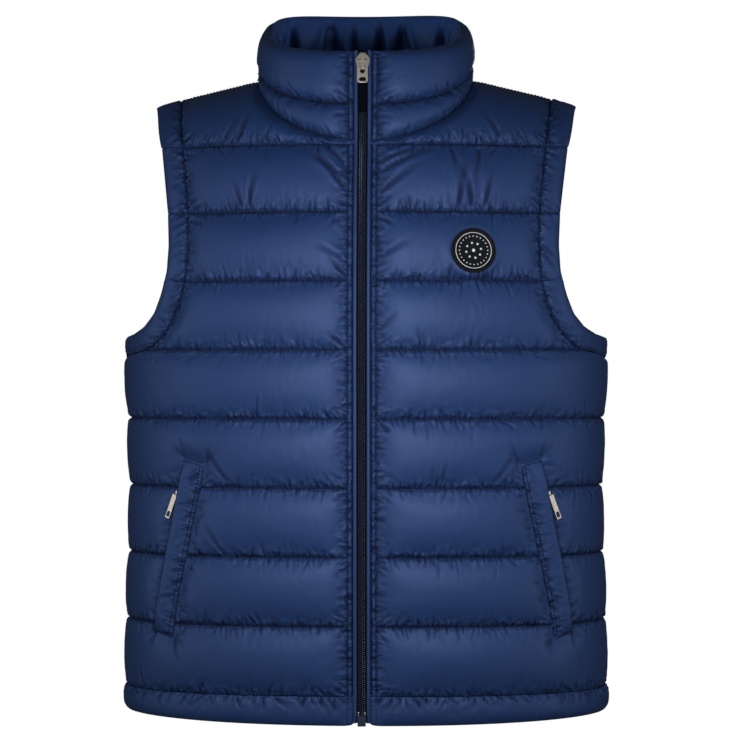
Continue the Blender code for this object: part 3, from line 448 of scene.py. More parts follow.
def roll(w):
    """Cross profile of a padded strip with a seam at 0 and a full, rolled edge at 1."""
    w = np.asarray(w, float)
    return np.where(w < 0.5, (1 - np.abs(2 * w - 1) ** 2.4) ** 0.55, (1 - np.abs(2 * w - 1) ** 3.0) ** 0.6)


def fade(distance, width=FADE):
    """Rise of the padding away from a seam."""
    t = np.clip(np.asarray(distance, float) / width, 0, 1)
    return 1 - (1 - t) ** FADE_POWER


def crowded(count):
    """Fractions from 0 up, closer together at both ends; 1 itself is left out."""
    t = np.arange(count) / count
    return t - CROWDING * np.sin(2 * math.pi * t) / (2 * math.pi)


def run_along(grid, axis):
    """Distance over the cloth from the first column or row."""
    steps = np.linalg.norm(np.diff(grid, axis=axis), axis=2)
    first = np.zeros_like(np.take(steps, [0], axis=axis))
    return np.concatenate([first, np.cumsum(steps, axis=axis)], axis=axis)


def channel_z(channel, f):
    return YOKE_Z - CHANNEL * (channel + f)


UNDERARM_Z = channel_z(UNDERARM_LINE, crowded(CHANNEL_ROWS)[UNDERARM_STEP])


def seam_angle(z):
    """Angle, round a level section, of the armhole seam or of the side seam below it."""
    line = channel_z(UNDERARM_LINE, 0)
    n, a = section("square", z), section("half_width", z)
    seam = np.minimum(curve(ARMHOLE, ARMHOLE_COLUMNS, "seam_x", np.maximum(z, line)), a)
    angle = np.arcsin((seam / a) ** (n / 2))
    low = np.clip((line - z) / (line - UNDERARM_Z), 0, 1)
    return float(angle + (math.pi / 2 - angle) * low)


def level_row(z, side, marks, columns):
    """Points along one level section, evenly split between the marked distances and the seam."""
    a, n, b = section("half_width", z), section("square", z), section(side, z)
    t = np.linspace(math.asin((marks[0] / a) ** (n / 2)), seam_angle(z), 600)
    x, depth = a * np.sin(t) ** (2 / n), b * np.maximum(np.cos(t), 0) ** (2 / n)
    run = np.concatenate([[0], np.cumsum(np.hypot(np.diff(x), np.diff(depth)))])
    stops = [*np.interp(marks, x, run), run[-1]]
    at = [np.linspace(stops[i], stops[i + 1], k, endpoint=False) for i, k in enumerate(columns)]
    at = np.concatenate(at + [[stops[-1]]])
    return np.stack([np.interp(at, run, x), np.interp(at, run, depth) * TOWARDS[side],
                     np.full(len(at), z)], axis=1)


def yoke_rows(side, x_low, neck_first, neck_last, steps):
    """Rows above the first stitch line, rolling over to the neck seam and the shoulder ridge."""
    m = YOKE_ROUND[side]
    x_top = x_low.copy()
    turn = np.linspace(0, math.pi / 2, neck_last - neck_first + 1)
    x_top[neck_first:neck_last + 1] = x_low[neck_first] + (NECK_HALF_WIDTH - x_low[neck_first]) * np.sin(turn)
    x_top[neck_last:] = np.linspace(NECK_HALF_WIDTH, SHOULDER_SEAM_X, len(x_low) - neck_last)
    rise = (neck_z(x_top, side) - YOKE_Z) / (ridge_z(x_top) - YOKE_Z)
    end = np.arcsin(np.clip(rise, 0, 1) ** (m / 2))
    end[neck_last:] = math.pi / 2
    rows = []
    for v in steps:
        x = x_low + (x_top - x_low) * v
        z = YOKE_Z + (ridge_z(x) - YOKE_Z) * np.sin(v * end) ** (2 / m)
        depth = ring_depth(x, YOKE_Z, side) * np.maximum(np.cos(v * end), 0) ** (2 / m)
        rows.append(np.stack([x, depth * TOWARDS[side], z], axis=1))
    return rows


def half_panel(side):
    """Inside points of one half, from the middle out and from the neck down, on the +X side."""
    columns = FRONT_COLUMNS if side == "front" else BACK_COLUMNS
    first = (FRONT_EDGE, FRONT_STITCH) if side == "front" else (0.0,)
    f = crowded(CHANNEL_ROWS)
    levels = [channel_z(i, k) for i in range(CHANNELS) for k in f] + [HEM_TOP_Z]
    rows = [level_row(z, side, (*first, float(curve(LINES, LINE_COLUMNS, "neck", z))), columns)
            for z in levels]
    steps = 1 - crowded(YOKE_ROWS)
    neck_last = sum(columns[:-1])
    top = yoke_rows(side, rows[0][:, 0], columns[0] if side == "front" else 0, neck_last, steps)
    phase = np.array([*(1 - steps), *(list(f) * CHANNELS), 1.0])
    return np.array(top + rows), phase, neck_last


def padding(grid, phase, seam_column):
    """Share of the full padding at each point: none on stitch lines and seams."""
    share = bump(phase)[:, None] * np.ones(grid.shape[:2])
    run = run_along(grid, 1)
    share *= fade(run[:, -1:] - run)
    if seam_column:
        share *= fade(run - run[:, seam_column:seam_column + 1])
    wide = np.abs(grid[..., 0]) / section("half_width", grid[..., 2])
    share *= 1 - (1 - SIDE_PUFF) * np.clip((wide - SIDE_PUFF_FROM) / (1 - SIDE_PUFF_FROM), 0, 1)
    height = run_along(grid[:YOKE_ROWS + 1], 0)[-1]
    share[:YOKE_ROWS] *= np.clip(height / LOW_YOKE, 0.04, 1)[None, :]
    rise = np.clip(phase[:YOKE_ROWS] / RIDGE_EASE, 0, 1)
    share[:YOKE_ROWS] *= (rise * rise * (3 - 2 * rise))[:, None]
    return share, height


def body_panel(side):
    """One half of the body: inside points, outward directions, padding, stitched points, cloth measures."""
    grid, phase, neck = half_panel(side)
    seam = FRONT_COLUMNS[0] if side == "front" else None
    share, height = padding(grid, phase, seam)
    pins = np.zeros(grid.shape[:2], bool)
    pins[0] = pins[-1] = pins[:, -1] = True
    pins[YOKE_ROWS::CHANNEL_ROWS] = True
    pins[:YOKE_ROWS, height < 0.012] = True
    if seam:
        pins[:, :seam + 1] = True
    normals = form_normals(grid, side)
    down = np.concatenate([run_along(grid[:YOKE_ROWS + 1], 0) - height, YOKE_Z - grid[YOKE_ROWS + 1:, :, 2]])
    across = run_along(grid, 1)
    across -= across[:, seam:seam + 1] if seam else 0
    grid[UNDERARM_ROW:, -1, 1] = 0.0
    grid[0, neck:, 1] = 0.0
    return SimpleNamespace(grid=grid, normals=normals, share=share, pins=pins, across=across, down=down,
                           neck=neck, wrap=False)


def whole_back(half):
    """Both halves of the back, columns from the wearer's right to the left."""
    def both(values, flip):
        other = values[:, :0:-1]
        return np.concatenate([mirrored(other, -1) if flip == "points" else other * flip, values], axis=1)
    return SimpleNamespace(grid=both(half.grid, "points"), normals=both(half.normals, "points"),
                           share=both(half.share, 1), pins=both(half.pins.astype(float), 1) > 0.5,
                           across=both(half.across, -1), down=both(half.down, 1), neck=half.neck, wrap=False)


def ring_normals(grid):
    """Level outward directions of an upright ring."""
    along = np.gradient(grid, axis=-2)
    return unit(np.stack([-along[..., 1], along[..., 0], np.zeros(grid.shape[:-1])], axis=-1))


def neck_line(front, back):
    """Neck seam from the right zip edge round the back to the left one, and body directions along it."""
    centre = back.grid.shape[1] // 2
    reach = slice(centre - back.neck, centre + back.neck + 1)
    half, across = front.grid[0, :front.neck + 1], back.grid[0, reach]
    middle = across.copy()
    middle[[0, -1], 1] = 0.0
    line = np.concatenate([mirrored(half[:-1], -1), middle, half[-2::-1]])
    lean = front.normals[0, :front.neck + 1]
    normals = np.concatenate([mirrored(lean[:-1], -1), back.normals[0, reach], lean[-2::-1]])
    return line, normals


def ease_to_neck(panel, line):
    """Lean the outward directions near the neck seam so that body and collar share the crease."""
    reach = np.linalg.norm(panel.grid[:, :, None] - line[None, None], axis=3)
    weight = np.exp(-(reach.min(axis=2) / NECK_EASE) ** 2)
    level = ring_normals(line)
    panel.normals = unit(panel.normals + level[reach.argmin(axis=2)] * weight[..., None])


def collar_grid(line):
    """Middle layer of the collar: from the neck seam up to the rim, right zip edge to left."""
    ahead = line[:, 1] < 0
    x = np.where(np.abs(line[:, 0]) > FRONT_STITCH, line[:, 0] * COLLAR_TOP["side"], line[:, 0])
    y = line[:, 1] * np.where(ahead, COLLAR_TOP["front"], COLLAR_TOP["back"])
    level, rise = (np.where(ahead, *pair) for pair in zip(COLLAR_RIM["front"], COLLAR_RIM["back"]))
    z = level + rise * np.where(ahead, y, np.sin(math.pi / 2 * np.clip(y / RIM_REACH, 0, 1)))
    top = np.stack([x, y, z], axis=1)
    level, rise = (np.where(ahead, *pair) for pair in zip(COLLAR_MID["front"], COLLAR_MID["back"]))
    mid_z = level + rise * line[:, 1]
    low_z = line[:, 2]
    rows = []
    heights = [low_z + (mid_z - low_z) * f for f in crowded(COLLAR_ROWS[0])]
    heights += [mid_z + (top[:, 2] - mid_z) * f for f in [*crowded(COLLAR_ROWS[1]), 1.0]]
    for z in heights:
        share = (z - line[:, 2]) / (top[:, 2] - line[:, 2])
        row = line + (top - line) * share[:, None]
        rows.append(np.stack([row[:, 0], row[:, 1], z], axis=1))
    return np.array(rows)


def collar_sheet(line, seam_normals, inside):
    """Outer collar, or the gathered facing inside it."""
    grid = collar_grid(line)
    low, high = COLLAR_ROWS
    phase = np.array([*crowded(low), *crowded(high), 1.0])
    upper = np.arange(low + high + 1) >= low
    rim = np.sqrt(np.clip(1 - np.clip(2 * phase - 1, 0, 1) ** 3.0, 0, 1))
    share = np.where(upper, np.where(phase < 0.5, bump(phase), rim), bump(phase))
    wall = np.where(upper & (phase > 0.5), SEAM_WALL * rim, SEAM_WALL)
    run = run_along(grid, 1)
    edge = FRONT_STITCH - FRONT_EDGE
    near = fade(run - edge) * fade(run[:, -1:] - run - edge)
    tall = np.clip(np.linalg.norm(grid[low] - grid[0], axis=1) / LOW_COLLAR, 0.3, 1)
    size = np.where(upper[:, None], 1.0, tall[None, :]) * near
    pins = np.zeros(grid.shape[:2], bool)
    pins[[0, low, -1]] = True
    pins[:, :FRONT_COLUMNS[0] + 1] = pins[:, -FRONT_COLUMNS[0] - 1:] = True
    if inside:
        normals = -ring_normals(grid)
        normals[0] = unit(normals[0] + np.array([0, 0, 0.35]))
        gather = np.zeros(grid.shape[:2])
        for place, depth, spread in GATHERS:
            gather += depth * np.exp(-((run - place * run[:, -1:]) / spread) ** 2)
        size = np.maximum(size - gather / bpy.context.scene.vest_quilt.facing_puff * 0.8, 0.25 * near)
        grid = grid + normals * GAP
    else:
        weight = np.exp(-(np.linalg.norm(grid - grid[:1], axis=2) / NECK_EASE) ** 2)
        normals = unit(ring_normals(grid) + seam_normals[None] * weight[..., None])
    down = -run_along(grid, 0)
    down -= down[low][None]
    return SimpleNamespace(grid=grid, normals=normals, share=share[:, None] * size, pins=pins, across=run,
                           down=down, wall=np.ones(grid.shape[:2]) * wall[:, None], wrap=False)


def armhole_band(front, back):
    """Padded strip round the armhole: from the seam that the panels share out to the free edge."""
    parts = []
    for side, panel in (("front", front), ("back", back)):
        seam = panel.grid[:UNDERARM_ROW + 1, -1].copy()
        v = np.zeros(UNDERARM_ROW + 1)
        v[:YOKE_ROWS] = 1 - crowded(YOKE_ROWS)
        m = YOKE_ROUND[side]
        low_x = float(curve(ARMHOLE, ARMHOLE_COLUMNS, "edge_x", YOKE_Z))
        x = low_x + (SHOULDER_TIP_X - low_x) * v - TIP_ROUND * np.clip((v - 0.8) / 0.2, 0, 1) ** 2
        z = YOKE_Z + (ridge_z(x) - YOKE_Z) * np.sin(v * math.pi / 2) ** (2 / m)
        depth = ring_depth(x, YOKE_Z, side) * np.maximum(np.cos(v * math.pi / 2), 0) ** (2 / m)
        body = np.arange(UNDERARM_ROW + 1) >= YOKE_ROWS
        seam_z = np.maximum(seam[:, 2], ARMHOLE[0][0])
        z = np.where(body, curve(ARMHOLE, ARMHOLE_COLUMNS, "edge_z", seam_z), z)
        z = np.where(body & (seam[:, 2] > LEVEL_BAND_Z), seam[:, 2], z)
        x = np.where(body, np.minimum(np.interp(z, [row[2] for row in ARMHOLE], [row[3] for row in ARMHOLE]),
                                      section("half_width", z)), x)
        depth = np.where(body, ring_depth(x, z, side), depth)
        x[-1], depth[-1] = section("half_width", z[-1]), 0.0
        edge = np.stack([x, depth * TOWARDS[side], z], axis=1)
        seam[[0, -1], 1] = edge[[0, -1], 1] = 0.0
        parts.append((seam, edge, form_normals(seam, side), form_normals(edge, side)))
    seam, edge, seam_normals, edge_normals = (np.concatenate([a, b[-2:0:-1]]) for a, b in zip(*parts))
    w = np.array([*crowded(BAND_ROWS), 1.0])[:, None, None]
    grid = seam + (edge - seam) * w
    normals = unit(seam_normals + (edge_normals - seam_normals) * w)
    count = grid.shape[1]
    lines = [YOKE_ROWS + k * CHANNEL_ROWS for k in range(UNDERARM_LINE)]
    lines += [count - r for r in lines]
    pins = np.zeros(grid.shape[:2], bool)
    pins[[0, -1]] = True
    pins[:, lines] = True
    around = np.arange(count)
    nearest = np.min([np.abs(around - r) for r in lines + [0, UNDERARM_ROW, count]], axis=0)
    ridge = np.clip(np.minimum(around, count - around) / (0.6 * YOKE_ROWS), 0, 1)
    pinch = 0.45 + 0.55 * np.clip(nearest / 5, 0, 1) ** 0.7
    pinch *= np.clip(0.15 + np.minimum(around, count - around) / (0.7 * YOKE_ROWS), 0, 1)
    across = run_along(grid, 1)
    return SimpleNamespace(grid=grid, normals=normals, share=roll(w[..., 0]) * pinch[None, :], pins=pins,
                           across=across, down=run_along(grid, 0), lines=lines,
                           wall=SEAM_WALL + (EDGE_WALL * (0.3 + 0.7 * ridge) - SEAM_WALL) * w[..., 0],
                           wrap=True)


def hem_strip(front, back):
    """Padded strip below the last stitch line, in one run from zip to zip round the back."""
    left = front.grid[-1]
    across = back.grid[-1].copy()
    across[[0, -1], 1] = 0.0
    line = np.concatenate([mirrored(left[:-1], -1), across, left[-2::-1]])
    level = np.concatenate([mirrored(front.normals[-1, :-1], -1), back.normals[-1],
                            front.normals[-1, -2::-1]])
    w = np.array([*crowded(HEM_ROWS), 1.0])[:, None]
    drop = HEM_HEIGHT - HEM_SIDE_RISE * (line[:, 0] / section("half_width", HEM_TOP_Z)) ** 2
    ends = np.abs(line[:, 0]) - FRONT_EDGE
    curl = np.clip(1 - ends / HEM_CORNER, 0, 1) * (line[:, 1] < 0)
    drop = drop - 0.18 * HEM_CORNER * (1 - np.sqrt(np.clip(1 - curl ** 2, 0, 1)))
    z = HEM_TOP_Z - drop[None] * w
    grow = section("half_width", z) / section("half_width", HEM_TOP_Z)
    free = np.abs(line[:, 0]) > FRONT_STITCH
    grid = np.stack([line[:, 0] * np.where(free, grow, 1), line[:, 1] * grow, z], axis=2)
    normals = np.broadcast_to(level, grid.shape).copy()
    near = np.where(line[:, 1] < 0, 0.35 + 0.65 * fade(np.abs(line[:, 0]) - FRONT_STITCH), 1.0)
    pins = np.zeros(grid.shape[:2], bool)
    pins[[0, -1]] = True
    pins[:, :FRONT_COLUMNS[0] + 1] = pins[:, -FRONT_COLUMNS[0] - 1:] = True
    return SimpleNamespace(grid=grid, normals=normals, share=roll(w) * near[None], pins=pins,
                           across=run_along(grid, 1), down=run_along(grid, 0), wrap=False)


def welt_lines(z):
    """Distances of both edges of the pocket welt from the middle."""
    return [curve(LINES, LINE_COLUMNS, name, z) for name in ("welt_in", "welt_out")]


def press_for_welt(panel, wall):
    """Flatten the padding where the pocket welt is sewn on, and hold the cloth there."""
    x, z = panel.grid[..., 0], panel.grid[..., 2]
    inner, outer = welt_lines(z)
    aside = np.maximum(np.maximum(inner - x, x - outer), 0)
    level = z + WELT_SLANT * np.clip((outer - x) / (outer - inner), 0, 1)
    beyond = np.maximum(np.maximum(level - WELT_TOP_Z, WELT_LOW_Z - level), 0)
    reach = np.hypot(aside, beyond)
    weight = np.clip(1 - reach / WELT_PRESS_REACH, 0, 1) ** 1.6
    panel.pins |= reach < 0.0015
    return wall + (WELT_PRESS - wall) * weight


def badge_seat():
    """Middle of the badge's back, its outward direction and its radius, from the solid."""
    points = np.array([v.co for v in NODES["badge"].data.vertices])
    middle = (points.min(axis=0) + points.max(axis=0)) / 2
    out = np.linalg.svd(points - points.mean(axis=0))[2][2]
    out *= -np.sign(out[1])
    height = (points - middle) @ out
    side = np.linalg.norm(points - middle - height[:, None] * out, axis=1)
    return middle + out * height.min(), out, side.max()


def press_for_badge(panel):
    """Flatten the cloth under the badge to one plane, and hold it there."""
    seat, out, radius = badge_seat()
    height = (panel.start - seat) @ out
    side = np.linalg.norm(panel.start - seat - height[..., None] * out, axis=-1)
    weight = np.clip((radius + BADGE_PRESS_REACH - side) / BADGE_PRESS_REACH, 0, 1)
    weight = weight * weight * (3 - 2 * weight) * (np.abs(height) < 0.05)
    panel.start = panel.start - (weight * (height + GAP))[..., None] * out
    panel.pins = panel.pins | ((side < radius) & (np.abs(height) < 0.05))


def grid_faces(rows, columns, wrap, first=0):
    """Corners of the quads of a grid, wound so that rows go down and columns to the right."""
    at = first + np.arange(rows * columns).reshape(rows, columns)
    if wrap:
        at = np.concatenate([at, at[:, :1]], axis=1)
    return np.stack([at[:-1, :-1], at[1:, :-1], at[1:, 1:], at[:-1, 1:]], axis=-1).reshape(-1, 4)


def add_mesh(name, points, faces, finish, smooth=True):
    """Make an object from points and faces and link it."""
    mesh = bpy.data.meshes.new(name)
    mesh.from_pydata([tuple(p) for p in points], [], [tuple(f) for f in faces])
    mesh.polygons.foreach_set("use_smooth", [smooth] * len(mesh.polygons))
    if finish:
        mesh.materials.append(finish)
    made = bpy.data.objects.new(name, mesh)
    bpy.context.scene.collection.objects.link(made)
    return made


def refine(grid, keep=None, wrap=False):
    """Halve the net both ways, rounding it as a cubic surface; kept points stay where they are."""
    for axis in (0, 1):
        g = np.moveaxis(grid, axis, 0)
        hold = None if keep is None else np.moveaxis(keep, axis, 0)
        closed = wrap and axis == 1
        before, after = np.roll(g, 1, axis=0), np.roll(g, -1, axis=0)
        even = (before + 6 * g + after) / 8
        odd = (g + after) / 2
        if not closed:
            even[[0, -1]] = g[[0, -1]]
            odd = odd[:-1]
        if hold is not None:
            even = np.where(hold[..., None] if g.ndim == 3 else hold, g, even)
        new = np.empty((len(even) + len(odd), *g.shape[1:]))
        new[0::2], new[1::2] = even, odd
        grid = np.moveaxis(new, 0, axis)
        if hold is not None:
            held = np.zeros(new.shape[:2], bool)
            held[0::2] = hold
            keep = np.moveaxis(held, 0, axis)
    return grid


def double(values, wrap=False):
    """Halve the net of plain values by straight interpolation."""
    for axis in (0, 1):
        g = np.moveaxis(values, axis, 0)
        odd = (g + np.roll(g, -1, axis=0)) / 2
        if not (wrap and axis == 1):
            odd = odd[:-1]
        new = np.empty((len(g) + len(odd), *g.shape[1:]))
        new[0::2], new[1::2] = g, odd
        values = np.moveaxis(new, 0, axis)
    return values


def surface_normals(grid, guide, wrap):
    """Directions square to a net, to the side that the guide points to."""
    if wrap:
        along = np.roll(grid, -1, axis=1) - np.roll(grid, 1, axis=1)
    else:
        along = np.gradient(grid, axis=1)
    normals = unit(np.cross(along, np.gradient(grid, axis=0)))
    return np.where((normals * guide).sum(axis=-1, keepdims=True) < 0, -normals, normals)


def crease(field, across, down, start, turn, length, width, depth):
    """Press one soft trough with raised lips into a field of heights, from a stitch outwards."""
    reach = length + 2 * width
    rows = np.flatnonzero((np.abs(down - start[1]) < reach).any(axis=1))
    if not len(rows):
        return
    block = slice(rows[0], rows[-1] + 1)
    du, dw = across[block] - start[0], down[block] - start[1]
    along = (du * math.cos(turn) + dw * math.sin(turn)) / length
    aside = (dw * math.cos(turn) - du * math.sin(turn)) / (width * (0.55 + 0.8 * np.clip(along, 0, 1)))
    shape = 0.5 * np.exp(-((np.abs(aside) - 1.7) / 0.7) ** 2) - np.exp(-aside ** 2)
    taper = np.clip(along / 0.12, 0, 1) * np.clip(1 - along, 0, 1) ** 0.8
    field[block] += depth * shape * taper


def pucker_row(field, across, down, line, sense, span, quilt, chance):
    """Uneven short puckers along one level stitch line, to the one side of it, fanning out at its ends."""
    at = span[0]
    depth = quilt.pucker_depth * (1.0 if sense < 0 else 0.7)
    while True:
        at += quilt.pucker_gap * chance.choice(PUCKER_STEPS[0], p=PUCKER_STEPS[1])
        if at > span[1]:
            return
        length = chance.choice(PUCKER_LENGTHS[0], p=PUCKER_LENGTHS[1])
        t = (at - span[0]) / (span[1] - span[0])
        lean = 34 * ((1 - t) ** 5 - t ** 5) + chance.normal(0, 20)
        turn = math.radians((90 - lean) * sense)
        crease(field, across, down, (at, line), turn, length * chance.uniform(0.8, 1.25),
               chance.uniform(0.0011, 0.0017), depth * chance.uniform(0.4, 1.6))


def pucker_column(field, across, down, span, quilt, chance):
    """The same from an upright stitch row outwards, with longer fans where a stitch line meets it."""
    at = span[0]
    while at < span[1]:
        at += quilt.pucker_gap * chance.uniform(0.5, 1.3)
        to_line = (at / CHANNEL + 0.5) % 1 - 0.5
        fan = max(0.0, 1 - abs(to_line) * 4.5)
        turn = np.sign(to_line) * fan * 36 + chance.normal(0, 10)
        length = chance.uniform(0.006, 0.014) * (1 + 0.9 * fan)
        crease(field, across, down, (0.0, at), math.radians(turn), length, chance.uniform(0.0012, 0.0020),
               quilt.pucker_depth * chance.uniform(0.5, 1.5))


def nearness(distance, reach):
    """1 on a stitch line, fading over the reach of its puckers."""
    return np.exp(-(np.abs(distance) / reach) ** 1.5)


def set_cloth_map(piece, outer_map, inner_map, level, upright, shade):
    """Store the cloth's own measures, in metres, as the UV map, how near its stitch lines are, and the painted
    shade of its grooves and creases.
    """
    values = np.concatenate([outer_map.reshape(-1, 2), inner_map.reshape(-1, 2)])
    for name, near in (("near_level", level), ("near_upright", upright), ("shade", shade)):
        store = piece.data.attributes.new(name, "FLOAT", "POINT")
        store.data.foreach_set("value", np.concatenate([near.ravel(), np.zeros(inner_map.size // 2)]))
    mesh = piece.data
    corners = np.empty(len(mesh.loops), int)
    mesh.loops.foreach_get("vertex_index", corners)
    layer = mesh.uv_layers.new(name="cloth")
    layer.data.foreach_set("uv", values[corners].ravel())


def padded_shell(name, outer, inner, finish, wrap, flip):
    """Closed wall: a fine outer net, a net half as fine inside, and strips that join their edges."""
    rows, columns = outer.shape[:2]
    low_rows, low_columns = inner.shape[:2]
    first = rows * columns
    faces = [tuple(f) for f in grid_faces(rows, columns, wrap)]
    faces += [tuple(f[::-1]) for f in grid_faces(low_rows, low_columns, wrap, first)]
    outs = np.arange(rows * columns).reshape(rows, columns)
    ins = first + np.arange(low_rows * low_columns).reshape(low_rows, low_columns)
    if wrap:
        outs = np.concatenate([outs, outs[:, :1]], axis=1)
        ins = np.concatenate([ins, ins[:, :1]], axis=1)
    edges = [(outs[0], ins[0], 1), (outs[-1], ins[-1], -1)]
    if not wrap:
        edges += [(outs[:, 0], ins[:, 0], -1), (outs[:, -1], ins[:, -1], 1)]
    for fine, plain, sense in edges:
        for i in range(len(plain) - 1):
            face = (fine[2 * i], fine[2 * i + 1], fine[2 * i + 2], plain[i + 1], plain[i])
            faces.append(face[::sense])
    if flip:
        faces = [f[::-1] for f in faces]
    points = np.concatenate([outer.reshape(-1, 3), inner.reshape(-1, 3)])
    return add_mesh(name, points, faces, finish)


def sew(piece, node, body="vest"):
    """Let a piece stand for its node on a body."""
    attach(piece, body)
    if node:
        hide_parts(*([node] if isinstance(node, str) else node))
    return piece


def shown_side(sheet, sign):
    """The cloth of a sheet after filling, twice as fine, on the asked side."""
    points = refine(sheet.points, sheet.pins, sheet.wrap)
    guide = double(sheet.normals, sheet.wrap)
    return mirrored(points, sign), mirrored(guide, sign)


def soften(groove, wrap):
    """Let the rows and columns beside a stitch line follow it a little."""
    beside = np.zeros(groove.shape)
    for axis in (0, 1):
        for step in (-1, 1):
            moved = np.roll(groove, step, axis=axis)
            if not (wrap and axis == 1):
                edge = [slice(None)] * 2
                edge[axis] = 0 if step > 0 else -1
                moved[tuple(edge)] = 0.0
            beside = np.maximum(beside, 0.35 * moved)
    return np.maximum(groove, beside)


def padded_piece(name, sheet, sign, creases, finish, near, flip=False):
    """Finish one padded piece: fine cloth with its creases outside, the plain lining inside."""
    outer, guide = shown_side(sheet, sign)
    creases = np.where(double(sheet.pins.astype(float), sheet.wrap) > 0.99, 0.0, creases)
    outer = outer + surface_normals(outer, guide, sheet.wrap) * creases[..., None]
    line = soften(sheet.groove, sheet.wrap)
    outer = outer - guide * line[..., None]
    # painted shade: grooves and creases darken the cloth's colour by their depth
    deep = getattr(sheet, "fold", DARK_CREASE[0])
    shade = line / DARK_GROOVE[0] * DARK_GROOVE[1] + np.clip(-creases / deep, 0, 1) * DARK_CREASE[1]
    piece = padded_shell(name, outer, mirrored(sheet.grid, sign), finish, sheet.wrap, flip)
    fine_map = np.stack([double(sheet.across, sheet.wrap) * sign, double(sheet.down, sheet.wrap)], axis=-1)
    set_cloth_map(piece, fine_map, np.stack([sheet.across * sign, sheet.down], axis=-1), *near,
                  np.clip(shade, 0, 1))
    sheet.shown = outer
    sew(piece, name)
    return piece


def fine_cloth(sheet):
    """Measures across and down the fine net of a sheet, and an empty field of crease heights."""
    across, down = double(sheet.across, sheet.wrap), double(sheet.down, sheet.wrap)
    sheet.groove = np.zeros(across.shape)
    return across, down, np.zeros(across.shape)


def quiet_select(piece):
    """Make one piece the only selected and the active one."""
    for other in bpy.context.view_layer.objects:
        other.select_set(False)
    piece.select_set(True)
    bpy.context.view_layer.objects.active = piece


class VEST_OT_cut(bpy.types.Operator):
    """Work out the cloth of every padded piece, as it is sewn and before it is filled."""
    bl_idname = "vest.cut"
    bl_label = "Cut the padded pieces"

    def execute(self, context):
        quilt = context.scene.vest_quilt
        front, half_back = body_panel("front"), body_panel("back")
        back = whole_back(half_back)
        line, seam_normals = neck_line(front, back)
        band = armhole_band(front, half_back)
        hem = hem_strip(front, back)
        ease_to_neck(front, line)
        ease_to_neck(back, line)
        right = SimpleNamespace(**vars(front))
        right.pins = front.pins.copy()
        sheets = {"front_left": (front, quilt.puff), "front_right": (right, quilt.puff),
                  "back": (back, quilt.puff),
                  "collar": (collar_sheet(line, seam_normals, False), quilt.collar_puff),
                  "collar_facing": (collar_sheet(line, seam_normals, True), quilt.facing_puff),
                  "armhole_band_left": (band, quilt.band_puff),
                  "armhole_band_right": (SimpleNamespace(**vars(band)), quilt.band_puff),
                  "hem_band": (hem, quilt.hem_puff)}
        for number, (name, (sheet, puff)) in enumerate(sheets.items()):
            chance = np.random.default_rng(40 + number)
            wall = getattr(sheet, "wall", SEAM_WALL) + puff * sheet.share
            if name.startswith("front"):
                wall = press_for_welt(sheet, wall)
            wall = wall + chance.normal(0, 0.00012, wall.shape) * ~sheet.pins
            sheet.start = sheet.grid + sheet.normals * wall[..., None]
            if name == "front_left":
                press_for_badge(sheet)
            sheet.points = sheet.start
            CLOTH[name] = sheet
        return {"FINISHED"}


class VEST_OT_fill(bpy.types.Operator):
    """Swell the cloth between its stitches with the cloth simulation, all pieces side by side."""
    bl_idname = "vest.fill"
    bl_label = "Fill the padded pieces"

    def execute(self, context):
        quilt, scene = context.scene.vest_quilt, context.scene
        pieces = {}
        for name, sheet in CLOTH.items():
            rows, columns = sheet.start.shape[:2]
            faces = grid_faces(rows, columns, sheet.wrap)
            if self.inward(sheet, faces):
                faces = faces[:, ::-1]
            piece = add_mesh(name + "_cloth", sheet.start.reshape(-1, 3), faces, None)
            group = piece.vertex_groups.new(name="stitched")
            group.add(np.flatnonzero(sheet.pins.ravel()).tolist(), 1.0, "REPLACE")
            swell = piece.modifiers.new("Swell", "CLOTH")
            cloth = swell.settings
            for key, value in SWELL.items():
                setattr(cloth, key, value)
            cloth.bending_stiffness = quilt.stiffness
            cloth.vertex_group_mass = group.name
            cloth.uniform_pressure_force = quilt.pressure
            cloth.shrink_min = -quilt.slack
            cloth.effector_weights.gravity = 0
            swell.point_cache.frame_start, swell.point_cache.frame_end = 1, quilt.frames + 1
            pieces[name] = piece
        for step in range(1, quilt.frames + 1):
            scene.frame_set(step)
        for name, piece in pieces.items():
            quiet_select(piece)
            bpy.ops.object.modifier_apply(modifier="Swell")
            sheet = CLOTH[name]
            points = np.empty(sheet.start.size)
            piece.data.vertices.foreach_get("co", points)
            move = points.reshape(sheet.start.shape) - sheet.start
            reach = np.maximum(np.linalg.norm(move, axis=-1, keepdims=True), 1e-9)
            sheet.points = sheet.start + move * quilt.cap * np.tanh(reach / quilt.cap) / reach
            bpy.data.objects.remove(piece)
        scene.frame_set(1)
        return {"FINISHED"}

    @staticmethod
    def inward(sheet, faces):
        points = sheet.start.reshape(-1, 3)
        a, b, d = (points[faces[:, i]] for i in (0, 1, 3))
        turn = np.cross(b - a, d - a)
        return (turn * sheet.normals.reshape(-1, 3)[faces[:, 0]]).sum() < 0


def on_front(sheet, x, z):
    """Place on the cloth of a front of the point at that distance from the middle and height."""
    row = int(np.argmin(np.abs(sheet.grid[YOKE_ROWS:, 0, 2] - z))) + YOKE_ROWS
    return float(np.interp(x, sheet.grid[row, :, 0], sheet.across[row])), YOKE_Z - z


